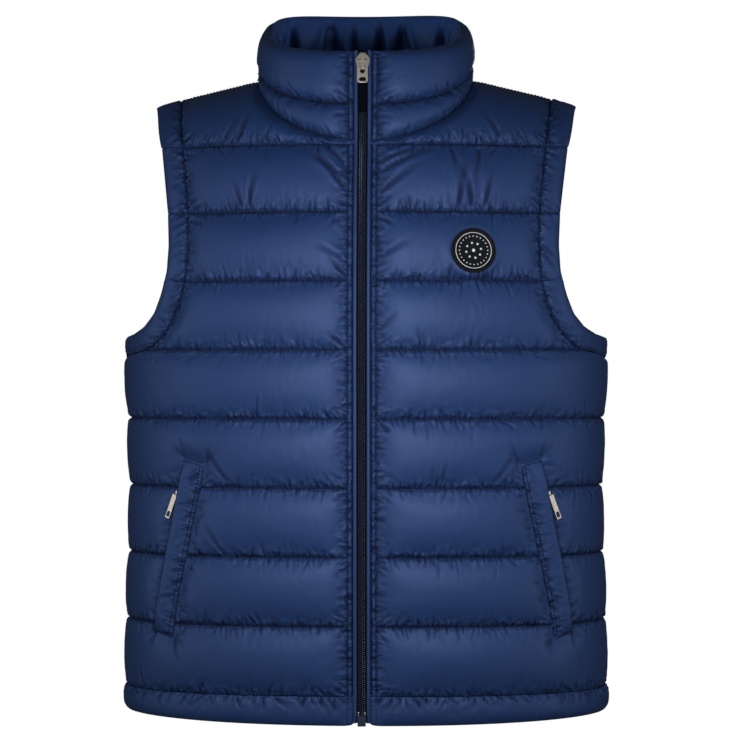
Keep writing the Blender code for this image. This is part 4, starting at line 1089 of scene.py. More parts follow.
def welt_creases(field, across, down, sheet, quilt, chance):
    """Puckers along both long edges of the welt and fans of drag creases at its four corners."""
    for z in np.arange(WELT_LOW_Z, WELT_TOP_Z, 0.0055):
        for x, away in zip(welt_lines(z), (180, 0)):
            level = z - (WELT_SLANT if away else 0)
            turn = math.radians(away + chance.normal(12 if away else -12, 16))
            crease(field, across, down, on_front(sheet, x, level + chance.uniform(-0.002, 0.002)), turn,
                   chance.uniform(0.006, 0.015), chance.uniform(0.0012, 0.0019),
                   quilt.pucker_depth * chance.uniform(0.5, 1.3))
    for z, up in ((WELT_TOP_Z, -1), (WELT_LOW_Z, 1)):
        for x, away in zip(welt_lines(z), (-1, 1)):
            level = z - (WELT_SLANT if away < 0 else 0)
            for turn, length in ((76, 0.022), (50, 0.020), (24, 0.015)):
                angle = up * (90 - away * (90 - turn)) + chance.normal(0, 6)
                crease(field, across, down, on_front(sheet, x, level), math.radians(angle),
                       length * chance.uniform(0.6, 1.3), 0.0021, 0.0016)


def body_creases(sheet, name, quilt, number):
    """Creases of a body panel: puckers on each stitch line and seam, then the main ones, one by one."""
    across, down, field = fine_cloth(sheet)
    chance = np.random.default_rng(70 + number)
    front = name != "back"
    for k in range(CHANNELS + 1):
        row = 2 * (YOKE_ROWS + k * CHANNEL_ROWS)
        span = (across[row].min() + 0.003, across[row].max() - 0.003)
        for sense in (-1, 1):
            if k < CHANNELS or sense < 0:
                pucker_row(field, across, down, k * CHANNEL, sense, span, quilt, chance)
    arm = (-0.045, UNDERARM_LINE * CHANNEL + 0.004)
    pucker_column(field, across[:, -1:] - across, down, arm, quilt, chance)
    if not front:
        pucker_column(field, across - across[:, :1], down, arm, quilt, chance)
    else:
        pucker_column(field, across, down, (0.002, CHANNELS * CHANNEL), quilt, chance)
        welt_creases(field, across, down, sheet, quilt, chance)
        for at, level, turn, length, width, depth in CREASES[name]:
            crease(field, across, down, (at, level), math.radians(turn), length, width, depth)
    offset = down[..., None] - np.arange(CHANNELS + 1) * CHANNEL
    offset = np.take_along_axis(offset, np.abs(offset).argmin(axis=-1)[..., None], axis=-1)[..., 0]
    level = nearness(offset, np.where(offset < 0, REACH["above"], REACH["below"]))
    upright = nearness(across[:, -1:] - across, REACH["armhole"]) * (down < arm[1])
    if not front:
        upright += nearness(across - across[:, :1], REACH["armhole"]) * (down < arm[1])
    else:
        upright += nearness(np.maximum(across, 0), REACH["zip"])
    sheet.groove[2 * YOKE_ROWS:-1:2 * CHANNEL_ROWS, STITCH_COLUMN if front else 0:] = quilt.groove
    if front:
        sheet.groove[2 * YOKE_ROWS:, [0, *ZIP_ROWS]] = quilt.groove * GROOVE["zip"]
        sheet.groove[0, :2 * sheet.neck] = quilt.groove * GROOVE["neck"]
    ends = [-1] if front else [0, -1]
    sheet.groove[:2 * UNDERARM_ROW, ends] = quilt.groove * GROOVE["armhole"]
    sheet.groove[2 * UNDERARM_ROW:, ends] = quilt.groove * GROOVE["side"]
    return field, (level, np.clip(upright, 0, 1))


class VEST_OT_panels(bpy.types.Operator):
    """Finish both fronts and the back."""
    bl_idname = "vest.panels"
    bl_label = "Fronts and back"

    def execute(self, context):
        quilt = context.scene.vest_quilt
        for number, (name, sign) in enumerate((("front_left", 1), ("front_right", -1), ("back", 1))):
            sheet = CLOTH[name]
            creases, near = body_creases(sheet, name, quilt, number)
            flip = name != "front_left"
            padded_piece(name, sheet, sign, creases, FINISHES["shell"], near, flip)
        return {"FINISHED"}


class VEST_OT_collar(bpy.types.Operator):
    """Finish the stand collar and its gathered facing."""
    bl_idname = "vest.collar"
    bl_label = "Collar"

    def execute(self, context):
        quilt = context.scene.vest_quilt
        for number, name in enumerate(("collar", "collar_facing")):
            sheet = CLOTH[name]
            across, down, field = fine_cloth(sheet)
            chance = np.random.default_rng(90 + number)
            row = 2 * COLLAR_ROWS[0]
            inside = name == "collar_facing"
            span = (0.006, across[row].max() - 0.006)
            for sense in (-1, 1):
                pucker_row(field, across, down, 0.0, sense, span, quilt, chance)
            if inside:
                # painted shade in the gathers is full only at this depth
                sheet.fold = GATHER_FOLD
                self.gathers(field, across, down)
            else:
                pucker_row(field, across, down - down[:1], 0.0, -1, span, quilt, chance)
                margin = FRONT_STITCH - FRONT_EDGE
                for edge in (across, across[:, -1:] - across):
                    pucker_column(field, edge - margin, down, (-0.050, 0.030), quilt, chance)
            ends = np.minimum(across, across[:, -1:] - across)
            near = (nearness(down, REACH["strip"]) + nearness(down - down[:1], REACH["strip"]),
                    nearness(np.maximum(ends - 0.005, 0), REACH["strip"]))
            sheet.groove[row, STITCH_COLUMN:-STITCH_COLUMN] = quilt.groove * GROOVE["collar"]
            sheet.groove[:, BOTH_ZIP_ROWS[1::2]] = quilt.groove * GROOVE["zip"]
            if not inside:
                sheet.groove[0] = quilt.groove * GROOVE["neck"]
                sheet.groove[:, [0, 1, -2, -1]] = quilt.groove * GROOVE["zip"]
            padded_piece(name, sheet, 1, field, FINISHES["facing" if inside else "shell"],
                         [np.clip(n, 0, 1) for n in near], not inside)
        return {"FINISHED"}

    @staticmethod
    def gathers(field, across, down):
        """Deep gathers inside the neck, narrow under the rim and wider towards the seam."""
        rim = down[-1:]
        t = np.clip((down - rim) / 0.034, 0, 1)
        for place, depth, spread in GATHERS:
            wide = spread * (0.22 + 0.55 * t)
            aside = (across - place * across[:, -1:]) / wide
            rise = np.clip((t - 0.06) / 0.40, 0, 1)
            lips = 0.4 * np.exp(-((np.abs(aside) - 1.7) / 0.7) ** 2)
            field += 1.5 * depth * rise * (lips - np.exp(-aside ** 2))


class VEST_OT_bands(bpy.types.Operator):
    """Finish the armhole bands and the hem band."""
    bl_idname = "vest.bands"
    bl_label = "Armhole and hem bands"

    def execute(self, context):
        quilt = context.scene.vest_quilt
        for number, (side, sign) in enumerate(SIDES):
            self.band(f"armhole_band_{side}", sign, quilt, number, sign > 0)
        self.band("hem_band", 1, quilt, 2, True)
        return {"FINISHED"}

    @staticmethod
    def band(name, sign, quilt, number, flip):
        sheet = CLOTH[name]
        across, down, field = fine_cloth(sheet)
        chance = np.random.default_rng(110 + number)
        at = 0.004
        while at < across.max() - 0.004:
            crease(field, across, down, (at, 0.0), math.radians(90 + chance.normal(0, 28)),
                   chance.uniform(0.006, 0.018), chance.uniform(0.0013, 0.0024),
                   quilt.pucker_depth * chance.uniform(0.4, 1.4))
            at += chance.uniform(0.004, 0.012)
        for away, turn, length, width, depth in () if sheet.wrap else HEM_CREASES:
            for start, sense in ((away, 1), (across.max() - away, -1)):
                crease(field, across, down, (start, 0.0), math.radians(90 + sense * turn), length, width, depth)
        upright = np.zeros(across.shape)
        for line in getattr(sheet, "lines", ()):
            upright = np.maximum(upright, nearness(across - across[:, 2 * line:2 * line + 1], REACH["armhole"]))
            sheet.groove[:, 2 * line] = quilt.groove * GROOVE["band"]
        sheet.groove[0] = quilt.groove * GROOVE["armhole"] if sheet.wrap else 0.0
        sheet.groove[-1] = 0.0
        padded_piece(name, sheet, sign, field * 1.2, FINISHES["shell"],
                     (nearness(down, REACH["strip"]), upright), flip)


def sample(points, run, at):
    """Points of a line at the asked places of its rising run."""
    return np.stack([np.interp(at, run, points[:, k]) for k in range(3)], axis=1)


def zip_path(count=240):
    """Points down the front opening, their outward directions and their heights, top to bottom."""
    collar, front = CLOTH["collar"], CLOTH["front_left"]
    edge = np.concatenate([collar.grid[::-1, -1], front.grid[YOKE_ROWS:, 0]])
    edge = np.concatenate([edge, [edge[-1] - np.array([0, 0, HEM_HEIGHT])]])
    z = np.linspace(edge[0, 2], edge[-1, 2], count)
    y = np.interp(z[::-1], edge[::-1, 2], edge[::-1, 1])[::-1]
    smooth = np.convolve(np.pad(y, 4, mode="edge"), np.ones(9) / 9, mode="valid")
    points = np.stack([np.zeros(count), smooth, z], axis=1)
    along = unit(np.gradient(points, axis=0))
    return points, unit(np.stack([np.zeros(count), along[:, 2], -along[:, 1]], axis=1))


def tube(name, rings, finish):
    """Closed mesh through rings of points, with flat ends."""
    rows, count = rings.shape[:2]
    faces = [tuple(f) for f in grid_faces(rows, count, True)]
    last = (rows - 1) * count
    faces += [tuple(range(count)), tuple(range(last + count - 1, last - 1, -1))]
    made = add_mesh(name, rings.reshape(-1, 3), faces, finish)
    tidy_normals(made)
    return made


def sweep(name, path, out, profile, finish):
    """Sweep a closed profile, given as across and outward sizes, down the front edge."""
    profile = np.array(profile)
    aside = profile[None, :, :1] * np.array([1.0, 0, 0])
    return tube(name, path[:, None] + aside + out[:, None] * profile[None, :, 1:], finish)


def tidy_normals(made):
    """Turn every face outwards and keep sharp corners crisp."""
    quiet_select(made)
    bpy.ops.object.mode_set(mode="EDIT")
    bpy.ops.mesh.select_all(action="SELECT")
    bpy.ops.mesh.normals_make_consistent(inside=False)
    bpy.ops.object.mode_set(mode="OBJECT")
    bpy.ops.object.shade_smooth_by_angle(angle=math.radians(50))


def seeds(name, middles, along, aside, out, size, finish):
    """Many small rounded slugs in one mesh: one for each middle, along its own direction."""
    long, wide, tall = size
    rings = ((-0.5, 0.0), (-0.38, 0.8), (0.0, 1.0), (0.38, 0.8), (0.5, 0.0))
    turn = np.arange(5) * 2 * math.pi / 5
    shape = [(t * long, k * wide * math.cos(a), k * tall * math.sin(a)) for t, k in rings[1:-1] for a in turn]
    shape = [(rings[0][0] * long, 0, 0)] + shape + [(rings[-1][0] * long, 0, 0)]
    shape = np.array(shape)
    points = (middles[:, None] + shape[None, :, :1] * along[:, None] + shape[None, :, 1:2] * aside[:, None]
              + shape[None, :, 2:] * out[:, None])
    count = len(shape)
    faces = [(0, 1 + (i + 1) % 5, 1 + i) for i in range(5)]
    for r in (0, 1):
        faces += [(1 + 5 * r + i, 1 + 5 * r + (i + 1) % 5, 6 + 5 * r + (i + 1) % 5, 6 + 5 * r + i)
                  for i in range(5)]
    faces += [(count - 1, 11 + i, 11 + (i + 1) % 5) for i in range(5)]
    all_faces = [tuple(c + k * count for c in face) for k in range(len(middles)) for face in faces]
    made = add_mesh(name, points.reshape(-1, 3), all_faces, finish)
    tidy_normals(made)
    return made


class VEST_OT_zip(bpy.types.Operator):
    """Make the front zip: woven tapes, coil, bindings, pins, and the tape on the pull."""
    bl_idname = "vest.zip"
    bl_label = "Front zip"

    def execute(self, context):
        whole, lean = zip_path()
        cut = whole[:, 2] > whole[-1, 2] + TAPE_END
        path, out = whole[cut], lean[cut]
        for side, sign in SIDES:
            tape = [(CHAIN_HALF, -CHAIN_BACK), (BINDING_OUT, 0.0), (BINDING_OUT, TAPE_WALL),
                    (CHAIN_HALF, TAPE_WALL), (TAPE_INNER, TAPE_WALL * 0.8), (TAPE_INNER, -CHAIN_BACK)]
            made = sweep(f"zip_tape_{side}", path, out, [(sign * x, d) for x, d in tape], FINISHES["tape"])
            sew(made, f"zip_tape_{side}")
            low, high = TAPE_WALL + GAP, BINDING_FRONT
            fold = [(BINDING_IN, low)]
            middle, half = (BINDING_IN + BINDING_OUT) / 2, (BINDING_OUT - BINDING_IN) / 2
            fold += [(middle - half * math.cos(a), high - half * 0.75 * (1 - math.sin(a)))
                     for a in np.linspace(0, math.pi, 9)]
            fold += [(BINDING_OUT, low)]
            made = sweep(f"zip_binding_{side}", path, out, [(sign * x, d) for x, d in fold],
                         FINISHES["shell"])
            sew(made, f"zip_binding_{side}")
            self.coil(side, sign, path, out, context.scene.vest_sewing.tooth_pitch)
        self.pins(whole[-1] + np.array([0, 0, PIN_RISE]) + out[-1] * PIN_LIFT)
        self.pull_tape()
        for name in ("zip_slider", "zip_pull"):
            NODES[name].data.materials[0] = FINISHES["metal"]
        NODES["zip_box"].data.materials[0] = FINISHES["box"]
        return {"FINISHED"}

    @staticmethod
    def coil(side, sign, path, out, pitch):
        """Teeth of one half, half a pitch above those of the other."""
        z = np.arange(path[-1, 2] + BARE_TAPE[0], path[0, 2] - BARE_TAPE[1], pitch)
        z = z + (pitch / 2 if sign > 0 else 0)
        rising, height = path[::-1], path[::-1, 2]
        at, away = sample(rising, height, z), unit(sample(out[::-1], height, z))
        across = np.broadcast_to([sign * 1.0, 0, 0], at.shape)
        up = np.cross(across, away)
        bends = [at + across * CHAIN_HALF * share + away * (CHAIN_FRONT - TOOTH[2]) for share in TOOTH_BENDS]
        two = [np.concatenate([v, v]) for v in (across, up, away)]
        made = seeds(f"zip_coil_{side}", np.concatenate(bends), *two, TOOTH, FINISHES["coil"])
        sew(made, None)

    @staticmethod
    def pins(place):
        """Small metal pins on both tapes above the box."""
        for side, sign in SIDES:
            bpy.ops.object.select_all(action="DESELECT")
            bpy.ops.mesh.primitive_cube_add(size=1, location=place + np.array([sign * PIN_ASIDE, 0, 0]),
                                            scale=PIN_SIZE)
            made = bpy.context.active_object
            made.name = made.data.name = f"zip_pin_{side}"
            bpy.ops.object.transform_apply(location=True, rotation=True, scale=True)
            bpy.ops.object.mode_set(mode="EDIT")
            bpy.ops.mesh.select_all(action="SELECT")
            bpy.ops.mesh.bevel(offset=PIN_ROUND, segments=2)
            bpy.ops.object.mode_set(mode="OBJECT")
            made.data.materials.append(FINISHES["metal"])
            sew(made, None)

    @staticmethod
    def pull_tape():
        """Folded textile tape hanging from the pull, a little wavy, on the solid's place."""
        low, high = (np.array(c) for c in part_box("zip_pull_tape"))
        half = (high[0] - low[0]) / 2
        points = np.array([v.co for v in NODES["zip_pull_tape"].data.vertices])
        top = points[points[:, 2] > high[2] - 0.001].mean(axis=0)
        end = points[points[:, 2] < low[2] + 0.001].mean(axis=0)
        along = unit(end - top)
        out = np.array([0, along[2], -along[1]])
        t = np.linspace(0, 1, 25)
        middle = top + (end - top) * t[:, None]
        thick = PULL_TAPE_HALF * (1 - 0.15 * np.cos(t * 40))
        thick[[0, -1]] = PULL_TAPE_END
        rim = [(math.cos(a), math.sin(a)) for a in np.arange(12) * math.pi / 6]
        ring = [(half * np.sign(c) * abs(c) ** 0.35, s) for c, s in rim]
        rows = middle[:, None] + np.array([[x, 0, 0] for x, _ in ring])[None]
        rows = rows + out * (np.array([s for _, s in ring])[None, :, None] * thick[:, None, None])
        made = tube("zip_pull_tape", rows, FINISHES["tape"])
        sew(made, "zip_pull_tape", "main_pull")


class VEST_OT_pockets(bpy.types.Operator):
    """Make both pocket welts and the zips under their free edges."""
    bl_idname = "vest.pockets"
    bl_label = "Pockets"

    def execute(self, context):
        quilt = context.scene.vest_quilt
        for number, (side, sign) in enumerate(SIDES):
            self.welt(side, sign, quilt, number)
            for name in (f"pocket_slider_{side}", f"pocket_pull_{side}"):
                NODES[name].data.materials[0] = FINISHES["metal"]
        return {"FINISHED"}

    @staticmethod
    def welt(side, sign, quilt, number):
        """One welt on its panel, lifted at the free edge, and the zip under it."""
        rows, columns = WELT_NET
        z = np.linspace(WELT_TOP_Z, WELT_LOW_Z, rows)
        f = np.linspace(0, 1, columns)
        level = z[:, None] - WELT_SLANT * (1 - f)
        inner, outer = welt_lines(level)
        x = inner + (outer - inner) * f
        base = np.stack([x, -ring_depth(x, level, "front"), level], axis=2)
        normals = form_normals(base, "front")
        skin = base + normals * WELT_PRESS
        end = np.minimum(np.arange(rows), np.arange(rows)[::-1])[:, None]
        open_part = np.clip(end / 7, 0, 1) ** 0.8
        rise = GAP + (WELT_LIFT - GAP) * np.maximum(2 * f - 1, 0)[None] * open_part
        low = skin + normals * rise[..., None]
        swell = np.minimum(1, np.minimum(0.25 + f * 4.5, 0.55 + (1 - f) * 4.5))[None]
        swell = swell * (0.35 + 0.65 * np.clip(end / 3, 0, 1) ** 0.6)
        high = low + normals * (WELT_EDGE * swell + (WELT_WALL - WELT_EDGE) * np.sin(math.pi * f)
                                * np.clip(end / 6, 0, 1))[..., None]
        sheet = SimpleNamespace(points=high, grid=low, normals=normals, pins=np.zeros(x.shape, bool),
                                across=run_along(base, 1), down=run_along(base, 0), wrap=False)
        across, down, field = fine_cloth(sheet)
        chance = np.random.default_rng(130 + number)
        at = 0.004
        while at < down.max() - 0.004:
            crease(field, across, down, (0.003, at), math.radians(chance.normal(32, 20)),
                   chance.uniform(0.005, 0.018), chance.uniform(0.0013, 0.0024),
                   quilt.pucker_depth * chance.uniform(0.3, 1.2))
            at += chance.choice((0.003, 0.006, 0.011, 0.018))
        sheet.groove[3:-3, WELT_ROWS] = quilt.groove * GROOVE["welt"]
        CLOTH[f"pocket_welt_{side}"] = sheet
        near = nearness(across - 0.002, REACH["welt"])
        padded_piece(f"pocket_welt_{side}", sheet, sign, field, FINISHES["shell"],
                     (np.zeros(near.shape), near), sign < 0)
        middle = base[:, columns // 2] + (base[:, -1] - base[:, columns // 2]) * 0.3
        strip = np.stack([middle, (middle + base[:, -1]) / 2, base[:, -1]], axis=1)
        turn = np.stack([normals[:, -1]] * 3, axis=1)
        under = strip + turn * (WELT_PRESS + GAP)
        tape = SimpleNamespace(points=under + turn * POCKET_TAPE_WALL, normals=turn, wrap=False,
                               pins=np.zeros(under.shape[:2], bool))
        outer, _ = shown_side(tape, sign)
        made = padded_shell(f"pocket_zip_{side}", outer, mirrored(under, sign), FINISHES["tape"], False,
                            sign < 0)
        sew(made, f"pocket_zip_{side}")


class VEST_OT_badge(bpy.types.Operator):
    """Mould the round chest badge with a plain rim, a pale ring, pale dots and a small rosette."""
    bl_idname = "vest.badge"
    bl_label = "Badge"

    def execute(self, context):
        seat, out, radius = badge_seat()
        out = Vector(out)
        turn = out.to_track_quat("Z", "Y")
        place = Matrix.Translation(Vector(seat)) @ turn.to_matrix().to_4x4()
        disc = self.disc(radius)
        relief = self.relief(radius)
        for made in (disc, relief):
            made.data.transform(place)
        sew(disc, "badge")
        sew(relief, None)
        return {"FINISHED"}

    @staticmethod
    def disc(radius):
        """Domed edge, raised rim and a sunk field, shaped from a cylinder."""
        thick = 0.0026
        bpy.ops.object.select_all(action="DESELECT")
        bpy.ops.mesh.primitive_cylinder_add(vertices=96, radius=radius, depth=thick, location=(0, 0, thick / 2))
        made = bpy.context.active_object
        made.name = made.data.name = "badge"
        bpy.ops.object.transform_apply(location=True, rotation=True, scale=True)
        bpy.ops.object.mode_set(mode="EDIT")
        bpy.ops.mesh.select_mode(type="FACE")
        for inset, lift in ((0.0022, 0.0), (0.0004, -0.0006)):
            VEST_OT_badge.pick_top(made)
            bpy.ops.mesh.inset(thickness=inset, depth=lift)
        bpy.ops.mesh.select_all(action="DESELECT")
        bpy.ops.object.mode_set(mode="OBJECT")
        bevel = made.modifiers.new("Soften", "BEVEL")
        bevel.width, bevel.segments, bevel.limit_method = 0.0005, 3, "ANGLE"
        quiet_select(made)
        bpy.ops.object.modifier_apply(modifier="Soften")
        bpy.ops.object.shade_smooth_by_angle(angle=math.radians(40))
        made.data.materials.append(FINISHES["rubber"])
        return made

    @staticmethod
    def pick_top(made):
        """Select the one large face of the top, in edit mode."""
        mesh = bmesh.from_edit_mesh(made.data)
        top = max((f for f in mesh.faces if f.normal.z > 0.9), key=lambda f: f.calc_area())
        for face in mesh.faces:
            face.select_set(face is top)
        bmesh.update_edit_mesh(made.data)

    @staticmethod
    def relief(radius):
        """Ring, dots and rosette of pale rubber, joined into one piece."""
        field = 0.0020
        parts = []
        bpy.ops.object.select_all(action="DESELECT")
        bpy.ops.mesh.primitive_torus_add(major_radius=radius * 0.80, minor_radius=0.00030, major_segments=96,
                                         minor_segments=8, location=(0, 0, field))
        parts.append(bpy.context.active_object)
        for count, reach, size, start in BADGE_DOTS:
            for k in range(count):
                angle = 2 * math.pi * k / count + start
                spot = (radius * reach * math.cos(angle), radius * reach * math.sin(angle), field)
                bpy.ops.mesh.primitive_uv_sphere_add(segments=12, ring_count=6, radius=size, location=spot,
                                                     scale=(1, 1, 0.35))
                parts.append(bpy.context.active_object)
        bpy.ops.object.select_all(action="DESELECT")
        for part in parts:
            part.select_set(True)
        bpy.context.view_layer.objects.active = parts[0]
        bpy.ops.object.join()
        made = bpy.context.active_object
        made.name = made.data.name = "badge_relief"
        bpy.ops.object.transform_apply(location=True, rotation=True, scale=True)
        bpy.ops.object.shade_smooth()
        made.data.materials.append(FINISHES["relief"])
        return made


def stitches(points, normals, sewing):
    """Middles, directions and sides of even stitches along a line of points."""
    steps = np.linalg.norm(np.diff(points, axis=0), axis=1)
    run = np.concatenate([[0], np.cumsum(steps)])
    at = np.arange(sewing.stitch_pitch / 2, run[-1], sewing.stitch_pitch)
    out = unit(sample(normals, run, at))
    along = unit(sample(points, run, at + 0.0005) - sample(points, run, at - 0.0005))
    return sample(points, run, at) + out * sewing.thread * 0.6, along, unit(np.cross(out, along)), out


class VEST_OT_stitching(bpy.types.Operator):
    """Sew the quilting lines, the zip's rows, the armholes, the hem, the collar and the welts."""
    bl_idname = "vest.stitching"
    bl_label = "Stitching"

    def execute(self, context):
        quilting = [2 * (YOKE_ROWS + k * CHANNEL_ROWS) for k in range(CHANNELS + 1)]
        below = slice(2 * YOKE_ROWS, None)
        for name, sign in (("front_left", 1), ("front_right", -1), ("back", 1)):
            if name == "back":
                lines = [np.s_[r] for r in quilting]
            else:
                lines = [np.s_[r, STITCH_COLUMN:] for r in quilting] + [np.s_[below, c] for c in ZIP_ROWS]
                lines += [np.s_[4, 2 * CLOTH[name].neck:]]
            self.lay(f"stitches_{name}", name, sign, lines)
        lines = [np.s_[2 * COLLAR_ROWS[0], STITCH_COLUMN:-STITCH_COLUMN]]
        self.lay("stitches_collar", "collar", 1, lines + [np.s_[:, c] for c in BOTH_ZIP_ROWS])
        self.lay("stitches_hem", "hem_band", 1, [np.s_[:-2, c] for c in BOTH_ZIP_ROWS])
        for side, sign in SIDES:
            band = f"armhole_band_{side}"
            round_edge = [*range(CLOTH[band].shown.shape[1]), 0]
            lines = [np.s_[1, round_edge]] + [np.s_[:, 2 * c] for c in CLOTH[band].lines]
            self.lay(f"stitches_armhole_{side}", band, sign, lines)
            lines = [np.s_[2:-2, c] for c in WELT_ROWS] + [np.s_[r] for r in (2, -3)]
            self.lay(f"stitches_welt_{side}", f"pocket_welt_{side}", sign, lines)
        return {"FINISHED"}

    @staticmethod
    def lay(name, piece, sign, lines):
        """Sew along lines of a piece's shown cloth, all in one mesh."""
        sewing = bpy.context.scene.vest_sewing
        sheet = CLOTH[piece]
        _, guide = shown_side(sheet, sign)
        parts = [stitches(sheet.shown[line], guide[line], sewing) for line in lines]
        middle, along, aside, out = (np.concatenate(values) for values in zip(*parts))
        size = (sewing.stitch_pitch * 0.66, sewing.thread, sewing.thread)
        made = seeds(name, middle, along, aside, out, size, FINISHES["thread"])
        sew(made, None)


def add_node(tree, kind, values=(), links=(), **settings):
    """Add one node with its settings, its sockets' values and its links."""
    made = tree.nodes.new(kind)
    for key, value in settings.items():
        setattr(made, key, value)
    for socket, value in values:
        made.inputs[socket].default_value = value
    for socket, source in links:
        tree.links.new(source, made.inputs[socket])
    return made


def new_finish(name):
    """An empty material with its output and one Principled shader."""
    made = bpy.data.materials.new(name)
    made.use_nodes = True
    tree = made.node_tree
    tree.nodes.clear()
    shader = add_node(tree, "ShaderNodeBsdfPrincipled")
    add_node(tree, "ShaderNodeOutputMaterial", links=[("Surface", shader.outputs[0])])
    return made, tree, shader


def per_metre(millimetres):
    """Texture scale of a feature of that size."""
    return 1000.0 / millimetres


def object_place(tree):
    return add_node(tree, "ShaderNodeTexCoord").outputs["Object"]


def noise(tree, vector, millimetres, detail, distortion=0.0):
    """Noise with features of that size."""
    values = [("Scale", per_metre(millimetres)), ("Detail", detail), ("Distortion", distortion)]
    return add_node(tree, "ShaderNodeTexNoise", values, [("Vector", vector)]).outputs["Fac"]


def stretch(tree, value, *ends):
    """A value spread from one range to another."""
    return add_node(tree, "ShaderNodeMapRange", ends, [("Value", value)]).outputs[0]


def maths(tree, operation, *values):
    return add_node(tree, "ShaderNodeMath", links=list(enumerate(values)), operation=operation).outputs[0]


def blend(tree, share, one, other):
    """Two fixed colours mixed by a share."""
    values = [(6, (*one, 1)), (7, (*other, 1))]
    return add_node(tree, "ShaderNodeMix", values, [(0, share)], data_type="RGBA").outputs[2]


def relief(tree, height, strength, distance, below=None):
    """Bump of a height, laid over another bump where one is given."""
    links = [("Height", height)] + ([("Normal", below)] if below else [])
    return add_node(tree, "ShaderNodeBump", [("Strength", strength), ("Distance", distance)], links).outputs[0]


def join(tree, shader, **sources):
    """Link sources to the shader's sockets of the same names."""
    for name, source in sources.items():
        tree.links.new(source, shader.inputs[name.replace("_", " ")])


def set_values(shader, values):
    for name, value in values.items():
        shader.inputs[name].default_value = value


def woven_nylon(name, colour, deep, fold, roughness):
    """Calendered nylon taffeta: a soft, broad gloss, fine puckers at the stitching and a faint weave; stitch
    lines and folds carry painted shade.
    """
    made, tree, shader = new_finish(name)
    place = object_place(tree)
    cloth = add_node(tree, "ShaderNodeUVMap", uv_map="cloth").outputs[0]
    patch = noise(tree, place, 60, 3.0)
    tint = blend(tree, patch, colour, deep)
    rough = stretch(tree, patch, ("To Min", roughness - 0.04), ("To Max", roughness + 0.05))
    # painted shade: stitch lines and folds are coloured deep blue, and made dull
    dark = add_node(tree, "ShaderNodeAttribute", attribute_name="shade").outputs["Fac"]
    spots = noise(tree, place, 11, 1.0)
    patchy = stretch(tree, spots, ("From Min", 0.36), ("From Max", 0.60), ("To Min", 0.25))
    # puckers too fine for the net: some 5 mm apart, running from the stitches into the cloth
    heights = []
    for near, wide, tall in (("near_level", 5.0, 15), ("near_upright", 15, 5.0)):
        mask = add_node(tree, "ShaderNodeAttribute", attribute_name=near).outputs["Fac"]
        scale = (per_metre(wide), per_metre(tall), 1)
        laid = add_node(tree, "ShaderNodeVectorMath", [(1, scale)], [(0, cloth)], operation="MULTIPLY")
        wrinkle = noise(tree, laid.outputs[0], 1000, 0.6, 0.7)
        reach = maths(tree, "MULTIPLY", mask, patchy)
        heights.append(maths(tree, "MULTIPLY", wrinkle, reach))
        # painted shade: the hollows of these fine puckers darken the colour too
        hollow = stretch(tree, wrinkle, ("From Min", 0.47), ("From Max", 0.34))
        dark = maths(tree, "MAXIMUM", maths(tree, "MULTIPLY", hollow, reach), dark)
    shaded_tint = add_node(tree, "ShaderNodeMix", [(7, (*fold, 1))], [(0, dark), (6, tint)], data_type="RGBA")
    dull = add_node(tree, "ShaderNodeMix", [(3, 0.95)], [(0, dark), (2, rough)], data_type="FLOAT")
    pucker = relief(tree, maths(tree, "ADD", *heights), 1.0, 0.0042)
    wave = relief(tree, noise(tree, place, 16, 3.0), 0.25, 0.0006, pucker)
    # threads of 0.2 mm are drawn 0.9 mm apart, so that the weave shows at this size
    threads = [add_node(tree, "ShaderNodeTexWave", [("Scale", per_metre(0.9) / 20), ("Distortion", 0.6)],
                        [("Vector", cloth)], wave_type="BANDS", bands_direction=axis).outputs["Fac"]
               for axis in ("X", "Y")]
    grain = relief(tree, maths(tree, "ADD", *threads), 0.08, 0.0001, wave)
    join(tree, shader, Base_Color=shaded_tint.outputs[2], Roughness=dull.outputs[0], Normal=grain)
    set_values(shader, {"IOR": 1.53, "Specular IOR Level": 0.75, "Specular Tint": (*linear("A2B6EA"), 1),
                        "Sheen Weight": 0.02, "Sheen Roughness": 0.50, "Sheen Tint": (*linear("8FA6DC"), 1)})
    return made


def plain_finish(name, colour, roughness, grain_mm, grain_depth, metallic=0.0, spread=0.06, gloss=0.5):
    """A surface of one stuff with fine grain: uneven roughness and bump at the grain's size."""
    made, tree, shader = new_finish(name)
    grain = noise(tree, object_place(tree), grain_mm, 4.0)
    tint = blend(tree, grain, [c * 0.8 for c in colour], colour)
    rough = stretch(tree, grain, ("To Min", roughness - spread), ("To Max", roughness + spread))
    join(tree, shader, Base_Color=tint, Roughness=rough, Normal=relief(tree, grain, 0.4, grain_depth))
    set_values(shader, {"Metallic": metallic, "Specular IOR Level": gloss})
    return made


